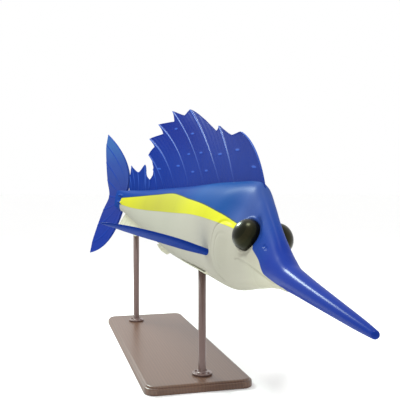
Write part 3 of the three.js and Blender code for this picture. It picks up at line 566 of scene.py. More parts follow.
def skin_material(paint):
    """Sprayed fibreglass under a clear coat: glossy paint in soft-edged fields, with scales showing
    faintly through it."""
    material, tree, shader = new_material("sprayed_fibreglass_skin")
    place = straight_place(tree)
    # The blue's paler nape is painted light and its deeper back painted shade; the band's duller middle
    # is painted shade.
    blue = graded(tree, clouded(tree, place, paint.blue, "blue"), "straight_x", BLUE_PAINTED_LIGHT_AND_SHADE)
    pale = graded(tree, clouded(tree, place, paint.pale, "pale"), "straight_x", PALE_TONES)
    yellow = graded(tree, clouded(tree, place, paint.yellow, "yellow"), "straight_x", YELLOW_PAINTED_SHADE)
    colour = blue
    for field, coat in (("pale", pale), ("yellow", yellow), ("band_line", rgba(paint.band_line))):
        colour = painted(tree, colour, coat, field_mask(tree, field))
    cells = {"Vector": stretched(tree, place, SCALES), "Scale": 1}
    scales = add_node(tree, "TexVoronoi", cells).outputs["Distance"]
    low = pressed(tree, scales, 0.2 * MM, 0.35)
    fine = pressed(tree, noise(tree, place, 1, PEEL), 0.03 * MM, 0.5, low)
    set_finish(
        tree, shader, colour, fine, Roughness=0.6, IOR=1.45, Specular_IOR_Level=0.02, Coat_IOR=1.4)
    for socket, ((start, low_value), (end, high_value)) in (
            ("Coat Weight", COAT_WEIGHTS), ("Coat Roughness", COAT_BLURS)):
        value = along_field(
            tree, "straight_x", -start * LENGTH, -end * LENGTH, low_value, high_value)
        tree.links.new(value, shader.inputs[socket])
    return material


def fin_material(name, colour, crest, spot, tones=()):
    """Sprayed fibreglass fin under a clear coat, with a painted highlight along the crests of its rays.

    tones, if given, are the stops of a drift in colour from the fin's low to its high parts.
    """
    material, tree, shader = new_material(name)
    place = straight_place(tree)
    coat = clouded(tree, place, colour, "fin")
    if tones:
        coat = graded(tree, coat, "straight_z", tones)
    # A painted highlight along the rays' crests.
    coat = painted(tree, coat, rgba(crest), attribute(tree, "crest"))
    # Lighter spots, partly a painted glint on their domes.
    coat = painted(tree, coat, rgba(spot), field_mask(tree, "spot"))
    wrinkle = pressed(tree, noise(tree, stretched(tree, place, WRINKLES), 2), 0.2 * MM, 0.15)
    set_finish(
        tree, shader, coat, wrinkle, Roughness=0.5, IOR=1.45, Specular_IOR_Level=0.02,
        Coat_Weight=0.045, Coat_Roughness=0.2, Coat_IOR=1.35)
    return material


def blue_fin_material(name, paint, tones=()):
    """A blue fin with a painted highlight on its rays and, on the sail, small lighter spots that are
    partly a painted glint.
    """
    return fin_material(name, paint.sail_blue, paint.crest, paint.spot, tones)


def pale_fin_material(name, paint):
    """A pale fin with a painted highlight, a little lighter still, on its rays, and no spots."""
    return fin_material(name, paint.pale, shaded(paint.pale, 1.1), paint.pale)


def eye_material(paint):
    """Polished glass eye: near black and deep, with a bronze iris that shows only close up."""
    material, tree, shader = new_material("polished_glass_eye")
    pupil_end, iris_start, iris_end, dark_start = IRIS
    deep = shaded(paint.pupil, 0.6)
    ring = colour_ramp(tree, attribute(tree, "polar"), [
        (0, deep), (pupil_end, deep), (iris_start, paint.iris), (iris_end, paint.iris),
        (dark_start, paint.pupil),
    ])
    flecks = noise(tree, straight_place(tree), 3, FLECK)
    set_finish(
        tree, shader, painted(tree, ring, rgba(paint.pupil), flecks), Roughness=0.28, IOR=1.5,
        Specular_IOR_Level=0.2, Specular_Tint=(0.9, 0.95, 0.5, 1))
    return material


def wood_material(stand):
    """Varnished walnut board: long grain every 10 mm or so, fine pores and a satin coat."""
    material, tree, shader = new_material("varnished_walnut")
    place = object_place(tree)
    long = stretched(tree, place, GRAIN)
    grain = add_node(tree, "TexWave", {
        "Vector": long, "Scale": 1.4, "Distortion": 7, "Detail": 3, "Detail Scale": 0.7,
    }, bands_direction="Y").outputs["Fac"]
    dark, light = rgba(shaded(stand.wood, 0.62)), rgba(shaded(stand.wood, 1.2))
    tone = painted(tree, painted(tree, dark, light, grain), rgba(stand.wood), noise(tree, long, 4))
    pits = pressed(tree, noise(tree, stretched(tree, place, PORES), 2), 0.15 * MM, 0.3)
    set_finish(tree, shader, tone, pits, Roughness=0.42, IOR=1.5, Coat_Weight=0.3, Coat_Roughness=0.25)
    return material


def rod_material(stand):
    """Brown lacquered steel: a satin coat with a faint spray grain."""
    material, tree, shader = new_material("brown_lacquered_steel")
    place = object_place(tree)
    grain = pressed(tree, noise(tree, place, 2, SPRAY), 0.04 * MM, 0.4)
    set_finish(
        tree, shader, clouded(tree, place, stand.rod, "lacquer"), grain, Roughness=0.38,
        Metallic=0.25, Coat_Weight=0.4, Coat_Roughness=0.2)
    return material


# Sizes and colours


def colour_setting(name, description, code):
    """A colour, given as an sRGB hex code."""
    return FloatVectorProperty(
        name=name, description=description, subtype="COLOR", default=linear(code))


def length_setting(name, description, default, low, high):
    """A length, given with its range in millimetres."""
    return FloatProperty(
        name=name, description=description, unit="LENGTH", default=default * MM, min=low * MM,
        max=high * MM)


def power_setting(name, description, default):
    """A lamp's power in watts."""
    return FloatProperty(
        name=name, description=description, unit="POWER", default=default, min=0, max=1000)


class PaintSettings(bpy.types.PropertyGroup):
    """Colours of the fish."""

    blue: colour_setting("Blue", "Back, face and bill", "#354C8B")
    sail_blue: colour_setting("Sail blue", "Sail and small fins", "#0A2974")
    # A painted highlight on the rays' crests.
    crest: colour_setting("Ray crests", "Rub of paint on the rays", "#3453A2")
    # Lighter spots on the sail, partly a painted glint on their domes.
    spot: colour_setting("Sail spots", "Small spots on the sail", "#2A4C9E")
    pale: colour_setting("Underside", "Flank and belly", "#B6B4A0")
    yellow: colour_setting("Band", "Band along the flank", "#C8C938")
    band_line: colour_setting("Band line", "Thin line over the band", "#3D4A3C")
    pupil: colour_setting("Pupil", "Dark of the eye", "#0A0907")
    iris: colour_setting("Iris", "Ring round the pupil", "#241F12")


class FinSettings(bpy.types.PropertyGroup):
    """Thicknesses of the fins."""

    membrane: length_setting("Membrane", "Half the thickness between the rays", 1.1, 0.5, 4)
    main_ray: length_setting(
        "Main rays", "How far a main ray stands out of the membrane", 2.9, 0, 8)
    fine_ray: length_setting(
        "Fine rays", "How far a fine ray stands out of the membrane", 0.6, 0, 4)


class StandSettings(bpy.types.PropertyGroup):
    """Sizes and colours of the stand."""

    height: length_setting("Board height", "Thickness of the board", 28, 10, 60)
    rod_radius: length_setting("Rod radius", "Half the rods' thickness", 13, 5, 25)
    wood: colour_setting("Wood", "Board", "#5A3D2B")
    rod: colour_setting("Rods", "Rods and their flanges", "#6B5550")


class StageSettings(bpy.types.PropertyGroup):
    """Floor and light."""

    floor: colour_setting("Floor", "Colour of the floor", "#FFFFFE")
    sky: FloatProperty(
        name="Sky", description="Strength of the even light", default=1, min=0, max=5)
    overhead: power_setting("Overhead light", "Soft light over the fish", 26)
    window: power_setting("Window light", "Light behind and above the fish", 76)


# Body

# The skin's fine relief. Each form is a bell: its height in millimetres, below 0 for a groove, how far
# its middle lies outside an edge or line, and how far from there it has sunk to about a third.
LID = (1.8, 4, 3)
EYE_HOLLOW = (-9, 2, 12)
MOUTH_GROOVE = (-2.6, 0, 2.4)
GILL_FOLD = (-3, 3, 3.2)
GILL_LINE = (-1.2, 0, 3)
NOSTRIL = (-2.6, 0, 3.4)
BACK_FOLD = (4, 0, 7)

# The mouth's groove as (s, z), from under the bill to its corner, which turns down.
mouth = curve_through([(-0.02, -0.0325), (0.03, -0.0315), (0.08, -0.0285), (0.13, -0.0275)])
MOUTH_LINE = [*((s, mouth(s)) for s in np.linspace(-0.004, 0.13, 14)), (0.137, -0.0305)]

# A nostril is this much longer than high.
NOSTRIL_LENGTH = 1.3

# Where forms fade, from none to full or, for the gill cover's edge, from full to none: in metres ahead
# of the eye's middle, in lengths ahead of the gill cover's, in millimetres from its edge, and for the
# fold on the back as heights over the widest line and stations.
FADES = {
    "eye_hollow": (0, 20 * MM), "gill_rear": (0.55, -0.35), "gill_edge": (-3, 1),
    "gill_line": (0.3, -0.1), "back_height": (0, 0.02), "back_front": (0.15, 0.175),
    "back_rear": (0.955, 0.93),
}


def faded(name, value):
    """A smooth step over one of the fades."""
    return smooth_step(*FADES[name], value)


def bell(form, distance):
    """The height in millimetres of a form, at distances in millimetres from its edge or line."""
    height, off, width = form
    return height * hump(distance - off, width)


def skin_relief(points):
    """How far the skin stands out, in millimetres, at points of the straight fish.

    It adds a lid round each eye and the hollow ahead of it, the groove of the mouth, the raised gill
    cover with the fold behind it and the line before it, the nostrils, the keels of the stalk and the
    fold of skin along the sail's root.
    """
    s = -points[..., 0] / LENGTH
    z = points[..., 2] / LENGTH
    centre, along, outward, upward = eye_frame()
    flank = np.where(points[..., 1:2] > 0, points, points * [1, -1, 1])
    local = flank - centre
    span = np.sqrt(
        (local @ along / EYE["radius"]) ** 2 + (local @ upward / EYE["radius"]) ** 2
        + (local @ outward / EYE["depth"]) ** 2
    )
    from_ball = (span - 1) * EYE["radius"] / MM
    height = bell(LID, from_ball)
    height += bell(EYE_HOLLOW, from_ball) * faded("eye_hollow", local @ along)
    height += bell(MOUTH_GROOVE, line_distance(s, z, MOUTH_LINE) * LENGTH / MM)
    ahead = (GILL_COVER["s"] - s) / GILL_COVER["length"]
    above = (z - GILL_COVER["z"]) / GILL_COVER["height"]
    power = GILL_COVER["power"]
    size = (np.abs(ahead) ** power + np.abs(above) ** power) ** (1 / power)
    scale = GILL_COVER["height"] * LENGTH / MM
    from_edge = (size - 1) * scale
    rear = faded("gill_rear", ahead)
    height += GILL_COVER["raised"] * (1 - faded("gill_edge", from_edge)) * rear
    height += bell(GILL_FOLD, from_edge) * rear
    height += bell(GILL_LINE, (size - GILL_COVER["line"]) * scale) * faded("gill_line", ahead)
    for nostril_s, nostril_z in NOSTRILS:
        away = np.hypot((s - nostril_s) / NOSTRIL_LENGTH, z - nostril_z) * LENGTH / MM
        height += bell(NOSTRIL, away)
    run = np.clip(1 - ((s - KEEL["s"]) * LENGTH / KEEL["length"]) ** 2, 0, 1)
    for keel_z in (-KEEL["z"], KEEL["z"]):
        height += KEEL["height"] * run * hump((z - keel_z) * LENGTH, KEEL["thick"])
    on_back = faded("back_height", z - widest(s)) * faded("back_front", s) * faded("back_rear", s)
    return height + bell(BACK_FOLD, points[..., 1] / MM) * on_back


def paint_fields(points):
    """The paints' fields in millimetres, positive inside: the pale underside, the band and its line.

    A field is the smallest distance to the paint's edges, measured in the side view.
    """
    s = -points[..., 0] / LENGTH
    z = points[..., 2] / LENGTH
    scale = LENGTH / MM
    pale = np.minimum(np.minimum(pale_top(s) - z, PALE_END - s), s - PALE_START) * scale
    top = (band_top(s) - z) * scale
    low = (z - band_low(s)) * scale
    end = (BAND_END - s) * scale
    start = (s - BAND_START) * scale
    middle = (band_top(s) + band_low(s)) / 2
    half = (band_top(s) - band_low(s)) / 2 * scale
    rounded = half - np.hypot((z - middle) * scale, np.clip(half - end, 0, None))
    yellow = np.minimum(np.minimum(top, low), np.minimum(start, rounded))
    line = BAND_LINE["half"] - np.abs(top + BAND_LINE["over"])
    line = np.minimum(line, np.minimum(end - BAND_LINE["short"], start))
    return [pale, yellow, line]


# Stations of the skin's rings: closest at the rounded ends, close over the head and along the keels.
SKIN_STATIONS = np.concatenate([
    BILL_TIP + BILL_ROUNDING * np.array([0, 0.02, 0.08, 0.2, 0.4, 0.7, 1]),
    np.linspace(-0.193, -0.003, 28), np.linspace(0, 0.24, 162), np.linspace(0.245, 0.93, 78),
    np.linspace(0.934, STALK_END, 22),
    STALK_END + (SKIN_END - STALK_END) * np.array([0.3, 0.6, 0.8, 0.92, 0.98, 1]),
])[:, None]
SKIN_AROUND = 320


class SAILFISH_OT_skin(bpy.types.Operator):
    """Adds the skin of bill, head, body and tail stalk in one piece"""

    bl_idname = "sailfish.skin"
    bl_label = "Add skin"

    def execute(self, context):
        points = skin_point(SKIN_STATIONS, full_turn(SKIN_AROUND))
        along = np.gradient(points, axis=0)
        around = np.roll(points, -1, 1) - np.roll(points, 1, 1)
        normal = unit(np.cross(around, along))
        middle = np.stack([-SKIN_STATIONS, 0 * SKIN_STATIONS, widest(SKIN_STATIONS)], -1) * LENGTH
        normal *= np.sign(np.einsum("ijk,ijk->ij", normal, points - middle))[..., None]
        raised = points + normal * skin_relief(points)[..., None] * MM
        values = fish_values(raised, paint_fields(points))
        add_piece(
            "fish_skin", *closed_tube(values), skin_material(context.scene.sailfish_paint), "blue_skin",
            ["bill", "head", "lower_jaw", "torso_front", "torso_rear", "tail_stalk", "gill_cover_left",
             "gill_cover_right"],
            ("pale", "yellow", "band_line", *STRAIGHT),
        )
        return {"FINISHED"}


class SAILFISH_OT_eyes(bpy.types.Operator):
    """Adds the two eyeballs"""

    bl_idname = "sailfish.eyes"
    bl_label = "Add eyes"

    def execute(self, context):
        material = eye_material(context.scene.sailfish_paint)
        centre, along, outward, upward = eye_frame()
        polar = np.linspace(0, math.pi, EYE["rings"])[:, None]
        turn = full_turn(EYE["around"])
        flat = EYE["radius"] * np.sin(polar)
        shell = (
            centre + (flat * np.cos(turn))[..., None] * along
            + (flat * np.sin(turn))[..., None] * upward
            + (EYE["depth"] * np.cos(polar) + 0 * turn)[..., None] * outward
        )
        for side, label in ((1, "left"), (-1, "right")):
            values = fish_values(shell * [1, side, 1], [polar / math.pi])
            add_piece(
                f"eyeball_{label}", *closed_tube(values), material, "eye", [f"eye_{label}"],
                ("polar", *STRAIGHT),
            )
        return {"FINISHED"}


# Fins

# The sail's guide rays: root and tip station, tip height and bow, then where the margin dips behind
# the ray, as a share of the way to the next one, and how deep.
SAIL_GUIDES = [
    ((0.138, 0.31, 0.156, 0.08), 0.6, 0.17), ((0.295, 0.458, 0.178, 0.02), 0.25, 0.19),
    ((0.375, 0.663, 0.23, 0.02), 0.45, 0.1), ((0.48, 0.772, 0.233, 0.025), 0.3, 0.15),
    ((0.585, 0.852, 0.203, 0.045), 0.2, 0.16), ((0.675, 0.879, 0.165, 0.055), 0.15, 0.17),
    ((0.74, 0.865, 0.124, 0.05), 0.15, 0.17), ((0.785, 0.832, 0.09, 0.04), 0.4, 0.1),
    ((0.83, 0.839, 0.063, 0), 0.5, 0),
]
SAIL_WAVE = {"swing": 7 * MM, "turns": 1.9, "full_height": 0.15}

# The sail's tips are rounded off over this share of a ray.
SAIL_TIP = 0.014

# Middles of the sail's spots as (s, z).
SAIL_SPOTS = [
    (0.737, 0.188), (0.616, 0.171), (0.629, 0.127), (0.54, 0.127), (0.413, 0.119), (0.317, 0.125),
    (0.688, 0.101), (0.485, 0.089), (0.583, 0.088), (0.219, 0.1), (0.793, 0.091),
]

# The small fins' guide rays: root and tip station, tip height and bow.
SECOND_DORSAL_GUIDES = [
    (0.8325, 0.8415, 0.062, 0), (0.852, 0.864, 0.073, 0.04), (0.862, 0.88, 0.098, 0.06),
    (0.885, 0.909, 0.077, 0.04), (0.905, 0.949, 0.091, 0.06), (0.924, 0.9465, 0.064, 0.05),
    (0.936, 0.9425, 0.044, 0.02),
]
FIRST_ANAL_GUIDES = [
    (0.615, 0.67, -0.1005, 0.03), (0.64, 0.705, -0.0975, 0.03), (0.662, 0.725, -0.092, 0.03),
    (0.682, 0.74, -0.086, 0.02),
]
SECOND_ANAL_GUIDES = [
    (0.826, 0.852, -0.079, 0.05), (0.845, 0.87, -0.085, 0.05), (0.868, 0.892, -0.08, 0.04),
    (0.892, 0.916, -0.0775, 0.04), (0.915, 0.941, -0.0765, 0.04), (0.932, 0.962, -0.073, 0.03),
]

# The tail fin's guide rays from the upper lobe to the lower: root and tip as (s, z), then the bow.
TAIL_GUIDES = [
    ((0.955, 0.012), (1.1, 0.169), 0.2), ((0.962, 0.01), (1.1, 0.14), 0.145),
    ((0.968, 0.008), (1.083, 0.09), 0.08), ((0.974, 0.005), (1.06, 0.042), 0.04),
    ((0.98, 0), (1.036, 0), 0), ((0.974, -0.005), (1.055, -0.041), -0.04),
    ((0.968, -0.008), (1.072, -0.087), -0.07), ((0.96, -0.01), (1.086, -0.137), -0.12),
    ((0.952, -0.012), (1.088, -0.167), -0.16),
]
UPPER_LEAN = 0.6
LOWER_LEAN = 1

# The tail fin's blade and its thicker leading rays, the width of these and the radii of its rounded
# ends in steps of u, and that of its tips as a share of a ray.
TAIL_BLADE = {
    "thick": 3.4 * MM, "thinning": 0.65, "leading": 2 * MM, "width": 0.35, "ends": 0.06, "tips": 0.03,
}

# Across a fin, the bells of the painted crest highlights, main and fine rays have sunk to a third at
# these distances. A main ray stands out by only a share of its height at its root.
CREST_HIGHLIGHT_WIDTH = 2.6 * MM
MAIN_RAY_WIDTH = 3.4 * MM
FINE_RAY_WIDTH = 3 * MM
CREST_HIGHLIGHT_FADE = (0.02, 0.75)
ROOT_SHARE = 0.25

# The bead along a fin's margin and the radii to which its edges are rounded.
BEAD = {"height": 0.8 * MM, "off": 5 * MM, "width": 4 * MM}
EDGES = {"margin": 3.5 * MM, "front": 4 * MM, "rear": 3 * MM}

# A spot is an oval with a low dome. Its lighter paint is partly a painted glint on the dome. The field
# of its paint is the value given here at its middle, 0 at its edge and NO_SPOT far from every spot.
SPOT = {"long": 20 * MM, "high": 3.4 * MM, "dome": 0.9 * MM, "dome_width": 1.1, "field": 4}
NO_SPOT = -10.0


def fin_columns(gaps, per_gap):
    """Columns along a fin, four times closer at its guide rays, and close together at both ends."""
    t = np.arange(gaps * per_gap + 1) / per_gap
    crowded = t - 0.12 * np.sin(2 * math.pi * t)
    edge = np.array([0.0015, 0.004, 0.008, 0.014])
    return np.unique(np.concatenate([crowded, edge, gaps - edge]).round(6))


def fin_rows(count):
    """Rows from root to margin, close together at both."""
    edge = [0.04, 0.028, 0.019, 0.012, 0.007, 0.0035, 0.0012, 0]
    return np.concatenate([[0, 0.006], np.linspace(0.02, 0.95, count), 1 - np.array(edge)])


def ray_grid(guides, u, v, margin=1.0, lean=1.0):
    """Middle surface of a fin in the straight fish's middle plane.

    The guides' roots and tips, as (s, z), and bows are smoothed along u. A ray runs from its root
    towards its tip to v times margin, and bows across by bow 4 b (1 - b) of its length, b being t to
    the power of lean.
    """
    place = np.arange(len(guides))
    pick = [
        curve_through(list(zip(place, column)))(u)[:, None]
        for column in np.array([(*root, *tip, bow) for root, tip, bow in guides]).T
    ]
    root_s, root_z, tip_s, tip_z, bow = pick
    t = v[None, :] * np.broadcast_to(margin, u.shape)[:, None]
    along_x, along_z = root_s - tip_s, tip_z - root_z
    bend = t ** np.broadcast_to(lean, u.shape)[:, None]
    curl = bow * 4 * bend * (1 - bend)
    x = -root_s + along_x * t + along_z * curl
    z = root_z + along_z * t - along_x * curl
    return np.stack([x * LENGTH, 0 * x, z * LENGTH], -1)


def fin_distances(points, u, v):
    """Width per step of u, square to the ray, and distance to the margin, both in metres."""
    per_u = np.gradient(points, u, axis=0)
    along = unit(np.gradient(points, v, axis=1))
    across = per_u - np.einsum("ijk,ijk->ij", per_u, along)[..., None] * along
    steps = np.linalg.norm(np.diff(points, axis=1), axis=-1)
    travelled = np.concatenate([np.zeros((len(u), 1)), np.cumsum(steps, 1)], 1)
    return np.linalg.norm(across, axis=-1), travelled[:, -1:] - travelled


def rounding(distance, radius):
    """A quarter circle: 0 at distance 0, 1 from radius inwards."""
    return np.sqrt(1 - (1 - np.clip(distance / radius, 0, 1)) ** 2)


def ridged_fin(
        guides, fins, per_gap, rows, between, margin=1.0, main=1.0, lean=1.0, shape=None, spots=()):
    """Both sides of a fin with rounded rays on a membrane and a rounded margin.

    Half its thickness is the membrane, plus a bell on every guide ray that fades to the root, a low
    bell on each ray between, a soft bead along the margin and a low dome on every spot, all rounded
    off by a quarter circle at every edge.
    """
    u = fin_columns(len(guides) - 1, per_gap)
    v = fin_rows(rows)
    edge_share = margin(u) if callable(margin) else margin
    points = ray_grid(guides, u, v, edge_share, lean(u) if callable(lean) else lean)
    width, to_margin = fin_distances(points, u, v)
    to_main = np.abs(u - np.round(u))[:, None] * width
    fine = u * (between + 1)
    to_fine = (np.abs(fine - np.round(fine)) / (between + 1))[:, None] * width
    # A painted highlight along each guide ray's crest, fading in from the root.
    crest = hump(to_main, CREST_HIGHLIGHT_WIDTH) * smooth_step(*CREST_HIGHLIGHT_FADE, v)[None, :]
    risen = (ROOT_SHARE + (1 - ROOT_SHARE) * v)[None, :]
    half = fins.membrane + main * fins.main_ray * hump(to_main, MAIN_RAY_WIDTH) * risen
    half = half + main * fins.fine_ray * hump(to_fine, FINE_RAY_WIDTH)
    half = half + BEAD["height"] * main * hump(to_margin - BEAD["off"], BEAD["width"])
    # The field of the lighter spots, partly a painted glint on their domes.
    spot = np.full(width.shape, NO_SPOT)
    for s, z in spots:
        reach = np.hypot(
            (points[..., 0] + s * LENGTH) / SPOT["long"], (points[..., 2] - z * LENGTH) / SPOT["high"])
        spot = np.maximum(spot, (1 - reach) * SPOT["field"])
        half = half + SPOT["dome"] * hump(reach, SPOT["dome_width"])
    to_front = u[:, None] * width
    to_rear = (u[-1] - u)[:, None] * width
    for distance, edge in ((to_margin, "margin"), (to_front, "front"), (to_rear, "rear")):
        half = half * rounding(distance, EDGES[edge])
    half[:, 0] = 0
    if shape is not None:
        points, half = shape(points, half, u, v)
    sides = [points + half[..., None] * [0, side, 0] for side in (1, -1)]
    return closed_fin(*[fish_values(side, [crest, spot]) for side in sides])


FIN_FIELDS = ("crest", "spot", *STRAIGHT)


def rooted(guides, outline, sunk):
    """Guides given as (root s, tip s, tip z, bow), rooted below the skin that outline gives."""
    return [
        ((root, float(outline(root)) + sunk / LENGTH), (tip_s, tip_z), bow)
        for root, tip_s, tip_z, bow in guides
    ]


def sail_margin(u):
    """The share of each ray that the sail reaches: it dips behind every guide ray and climbs again.

    A dip is part straight and part sine. Its hypotenuse with SAIL_TIP rounds the tips off.
    """
    guide = np.minimum(u.astype(int), len(SAIL_GUIDES) - 2)
    t = u - guide
    at, depth = np.array([g[1:] for g in SAIL_GUIDES])[guide].T
    straight = np.where(t < at, t / at, (1 - t) / (1 - at))
    return 1 - np.hypot(depth * (0.65 * straight + 0.35 * np.sin(straight * math.pi / 2)), SAIL_TIP)


def sail_sway(points, half, u, v):
    """The sail sways to the sides as a sine along u that grows over the first part of its height."""
    height = points[..., 2] / LENGTH - back(-points[..., 0] / LENGTH)
    sway = SAIL_WAVE["swing"] * np.sin(u * SAIL_WAVE["turns"])[:, None]
    points = points.copy()
    points[..., 1] = sway * np.clip(height / SAIL_WAVE["full_height"], 0, 1)
    return points, half


class SAILFISH_OT_sail(bpy.types.Operator):
    """Adds the sail"""

    bl_idname = "sailfish.sail"
    bl_label = "Add sail"

    def execute(self, context):
        paint = context.scene.sailfish_paint
        guides = rooted([g[0] for g in SAIL_GUIDES], back, -SUNK)
        mesh = ridged_fin(
            guides, context.scene.sailfish_fins, 44, 100, 4, sail_margin, shape=sail_sway,
            spots=SAIL_SPOTS,
        )
        # The sail is painted darker towards its margin, painted shade, with a painted highlight on its
        # ray crests and lighter spots that are partly a painted glint.
        material = blue_fin_material("sprayed_fibreglass_sail", paint, SAIL_PAINTED_SHADE)
        add_piece("sail_membrane", *mesh, material, "blue_skin", ["sail"], FIN_FIELDS)
        return {"FINISHED"}


class SAILFISH_OT_small_fins(bpy.types.Operator):
    """Adds the second dorsal fin and the two anal fins"""

    bl_idname = "sailfish.small_fins"
    bl_label = "Add small fins"

    def execute(self, context):
        paint = context.scene.sailfish_paint
        fins = context.scene.sailfish_fins
        blue = blue_fin_material("sprayed_fibreglass_small_fin", paint)
        pale = pale_fin_material("sprayed_fibreglass_pale_fin", paint)
        for name, guides, outline, sunk, between, material, slot, node in (
            ("second_dorsal_membrane", SECOND_DORSAL_GUIDES, back, -SUNK, 1, blue, "blue_skin",
             "second_dorsal_fin"),
            ("first_anal_membrane", FIRST_ANAL_GUIDES, belly, SUNK, 2, pale, "pale_skin",
             "first_anal_fin"),
            ("second_anal_membrane", SECOND_ANAL_GUIDES, belly, SUNK, 1, pale, "pale_skin",
             "second_anal_fin"),
        ):
            mesh = ridged_fin(rooted(guides, outline, sunk), fins, 20, 36, between, main=0.6)
            add_piece(name, *mesh, material, slot, [node], FIN_FIELDS)
        return {"FINISHED"}


def tail_lean(u):
    """The upper lobe's rays bow nearer their roots than the lower one's."""
    return np.where(u < (len(TAIL_GUIDES) - 1) / 2, UPPER_LEAN, LOWER_LEAN)


def tail_shape(points, half, u, v):
    """The tail's lobes are thick at the root and at their leading rays and thin to the tips."""
    ends = np.minimum(u, u[-1] - u)[:, None]
    blade = TAIL_BLADE["thick"] * (1 - TAIL_BLADE["thinning"] * v)
    leading = TAIL_BLADE["leading"] * hump(ends, TAIL_BLADE["width"]) * (1 - v)
    rounded = rounding(ends, TAIL_BLADE["ends"]) * rounding(1 - v, TAIL_BLADE["tips"])
    return points, half + (blade + leading) * rounded * np.sign(half)


class SAILFISH_OT_tail_fin(bpy.types.Operator):
    """Adds the tail fin with both of its lobes"""

    bl_idname = "sailfish.tail_fin"
    bl_label = "Add tail fin"

    def execute(self, context):
        paint = context.scene.sailfish_paint
        mesh = ridged_fin(
            TAIL_GUIDES, context.scene.sailfish_fins, 24, 84, 2, main=0.35, lean=tail_lean,
            shape=tail_shape)
        # The tail is painted paler towards its upper tip, painted light, with a painted highlight on
        # its ray crests.
        material = fin_material(
            "sprayed_fibreglass_tail", paint.blue, shaded(paint.sail_blue, 1.3), paint.blue,
            TAIL_PAINTED_LIGHT)
        add_piece(
            "tail_fan", *mesh, material, "blue_skin", ["tail_fin_upper", "tail_fin_lower"], FIN_FIELDS)
        return {"FINISHED"}


# A pectoral fin's root, length and sickle are shares of LENGTH and sunk is one of the half width there.
# Edge, tip and rim_tip are radii as shares of its chord and length.
PECTORAL = {
    "s": 0.26, "z": -0.048, "sunk": 0.14, "length": 0.205, "sickle": 0.02, "rear_short": 0.12,
    "thick": 6.4 * MM, "thinning": 0.62, "rim": 0.5 * MM, "edge": 0.02, "tip": 0.03, "rim_tip": 0.01,
}

# Its low rays: their widths are shares of its chord, and they fade over it, from none to full. A
# painted highlight runs along their crests with its own strength, width and fade-in.
PECTORAL_RAYS = {
    "count": 9, "height": 0.5 * MM, "width": 0.022, "from_front": (0.15, 0.4), "from_rear": (1, 0.8),
    "crest": 0.35, "crest_highlight_width": 0.03, "crest_highlight_from": (0.1, 0.3),
}

# Brings the highest place of a wing's section, the square root of u times (1 - u), to 1.
WING_SCALE = 2.6
PECTORAL_POSE = {
    -1: {"sweep": math.radians(28.5), "lift": math.radians(6.5), "twist": math.radians(29)},
    1: {"sweep": math.radians(52), "lift": math.radians(-6), "twist": math.radians(30)},
}
pectoral_chord = curve_through([(0, 0.023), (0.3, 0.041), (0.6, 0.035), (0.88, 0.018), (1, 0.003)])


def pectoral_blade(side):
    """Both sides of a pectoral fin.

    Its middle surface is root + reach(v) outward + (across(u) chord(v) - sickle v^2) forward. Its
    half thickness is a wing's: steep at the leading edge, fading to the trailing one, with low rays.
    """
    pose = PECTORAL_POSE[side]
    sweep, lift = pose["sweep"], pose["lift"]
    outward = Vector((
        -math.sin(sweep) * math.cos(lift), side * math.cos(sweep) * math.cos(lift), math.sin(lift),
    ))
    forward = Vector((math.cos(sweep), side * math.sin(sweep), 0))
    forward.rotate(Matrix.Rotation(-side * pose["twist"], 3, outward))
    facing = np.array(outward.cross(forward).normalized())
    root = np.array([
        -PECTORAL["s"] * LENGTH,
        side * float(half_width(PECTORAL["s"])) * LENGTH * (1 - PECTORAL["sunk"]),
        PECTORAL["z"] * LENGTH,
    ])
    u = np.concatenate([[0, 0.004, 0.012, 0.025, 0.045], np.linspace(0.07, 0.95, 48), [0.98, 1]])
    u, v = u[:, None], fin_rows(80)[None, :]
    reach = PECTORAL["length"] * LENGTH * v * (1 - PECTORAL["rear_short"] * u ** 2 * v) - SUNK
    ahead = (0.5 - u) * pectoral_chord(v) * LENGTH - PECTORAL["sickle"] * LENGTH * v ** 2
    points = root + reach[..., None] * np.array(outward) + ahead[..., None] * np.array(forward)
    rays = PECTORAL_RAYS
    ray = np.abs(u * rays["count"] - np.round(u * rays["count"])) / rays["count"]
    low_rays = rays["height"] * hump(ray, rays["width"])
    low_rays = low_rays * smooth_step(*rays["from_front"], u) * smooth_step(*rays["from_rear"], u)
    wing = PECTORAL["thick"] * (1 - PECTORAL["thinning"] * v) * np.sqrt(u) * (1 - u) * WING_SCALE
    half = (wing + low_rays * (1 - v)) * rounding(1 - v, PECTORAL["tip"])
    edges = rounding(u, PECTORAL["edge"]) * rounding(1 - u, PECTORAL["edge"])
    half = half + PECTORAL["rim"] * edges * rounding(1 - v, PECTORAL["rim_tip"])
    half[:, 0] = 0
    # A painted highlight along the low rays' crests.
    crest = rays["crest"] * hump(ray, rays["crest_highlight_width"]) * smooth_step(*rays["crest_highlight_from"], u)
    sides = [points + half[..., None] * facing * turned for turned in (1, -1)]
    return closed_fin(*[fish_values(face, [crest, NO_SPOT]) for face in sides])


# Buried and clear are how deep it starts and how far off the skin it ends, the latter from the share
# of its length that free_from gives.
PELVIC = {
    "from": 0.272, "to": 0.5, "angle": math.radians(-62), "buried": 14 * MM, "clear": 4.1 * MM,
    "free_from": 0.14, "chord": 15 * MM, "tip_chord": 0.3, "thick": 2.2 * MM, "tip_thick": 0.5,
    "root_end": 0.01, "tip_end": 0.02,
}


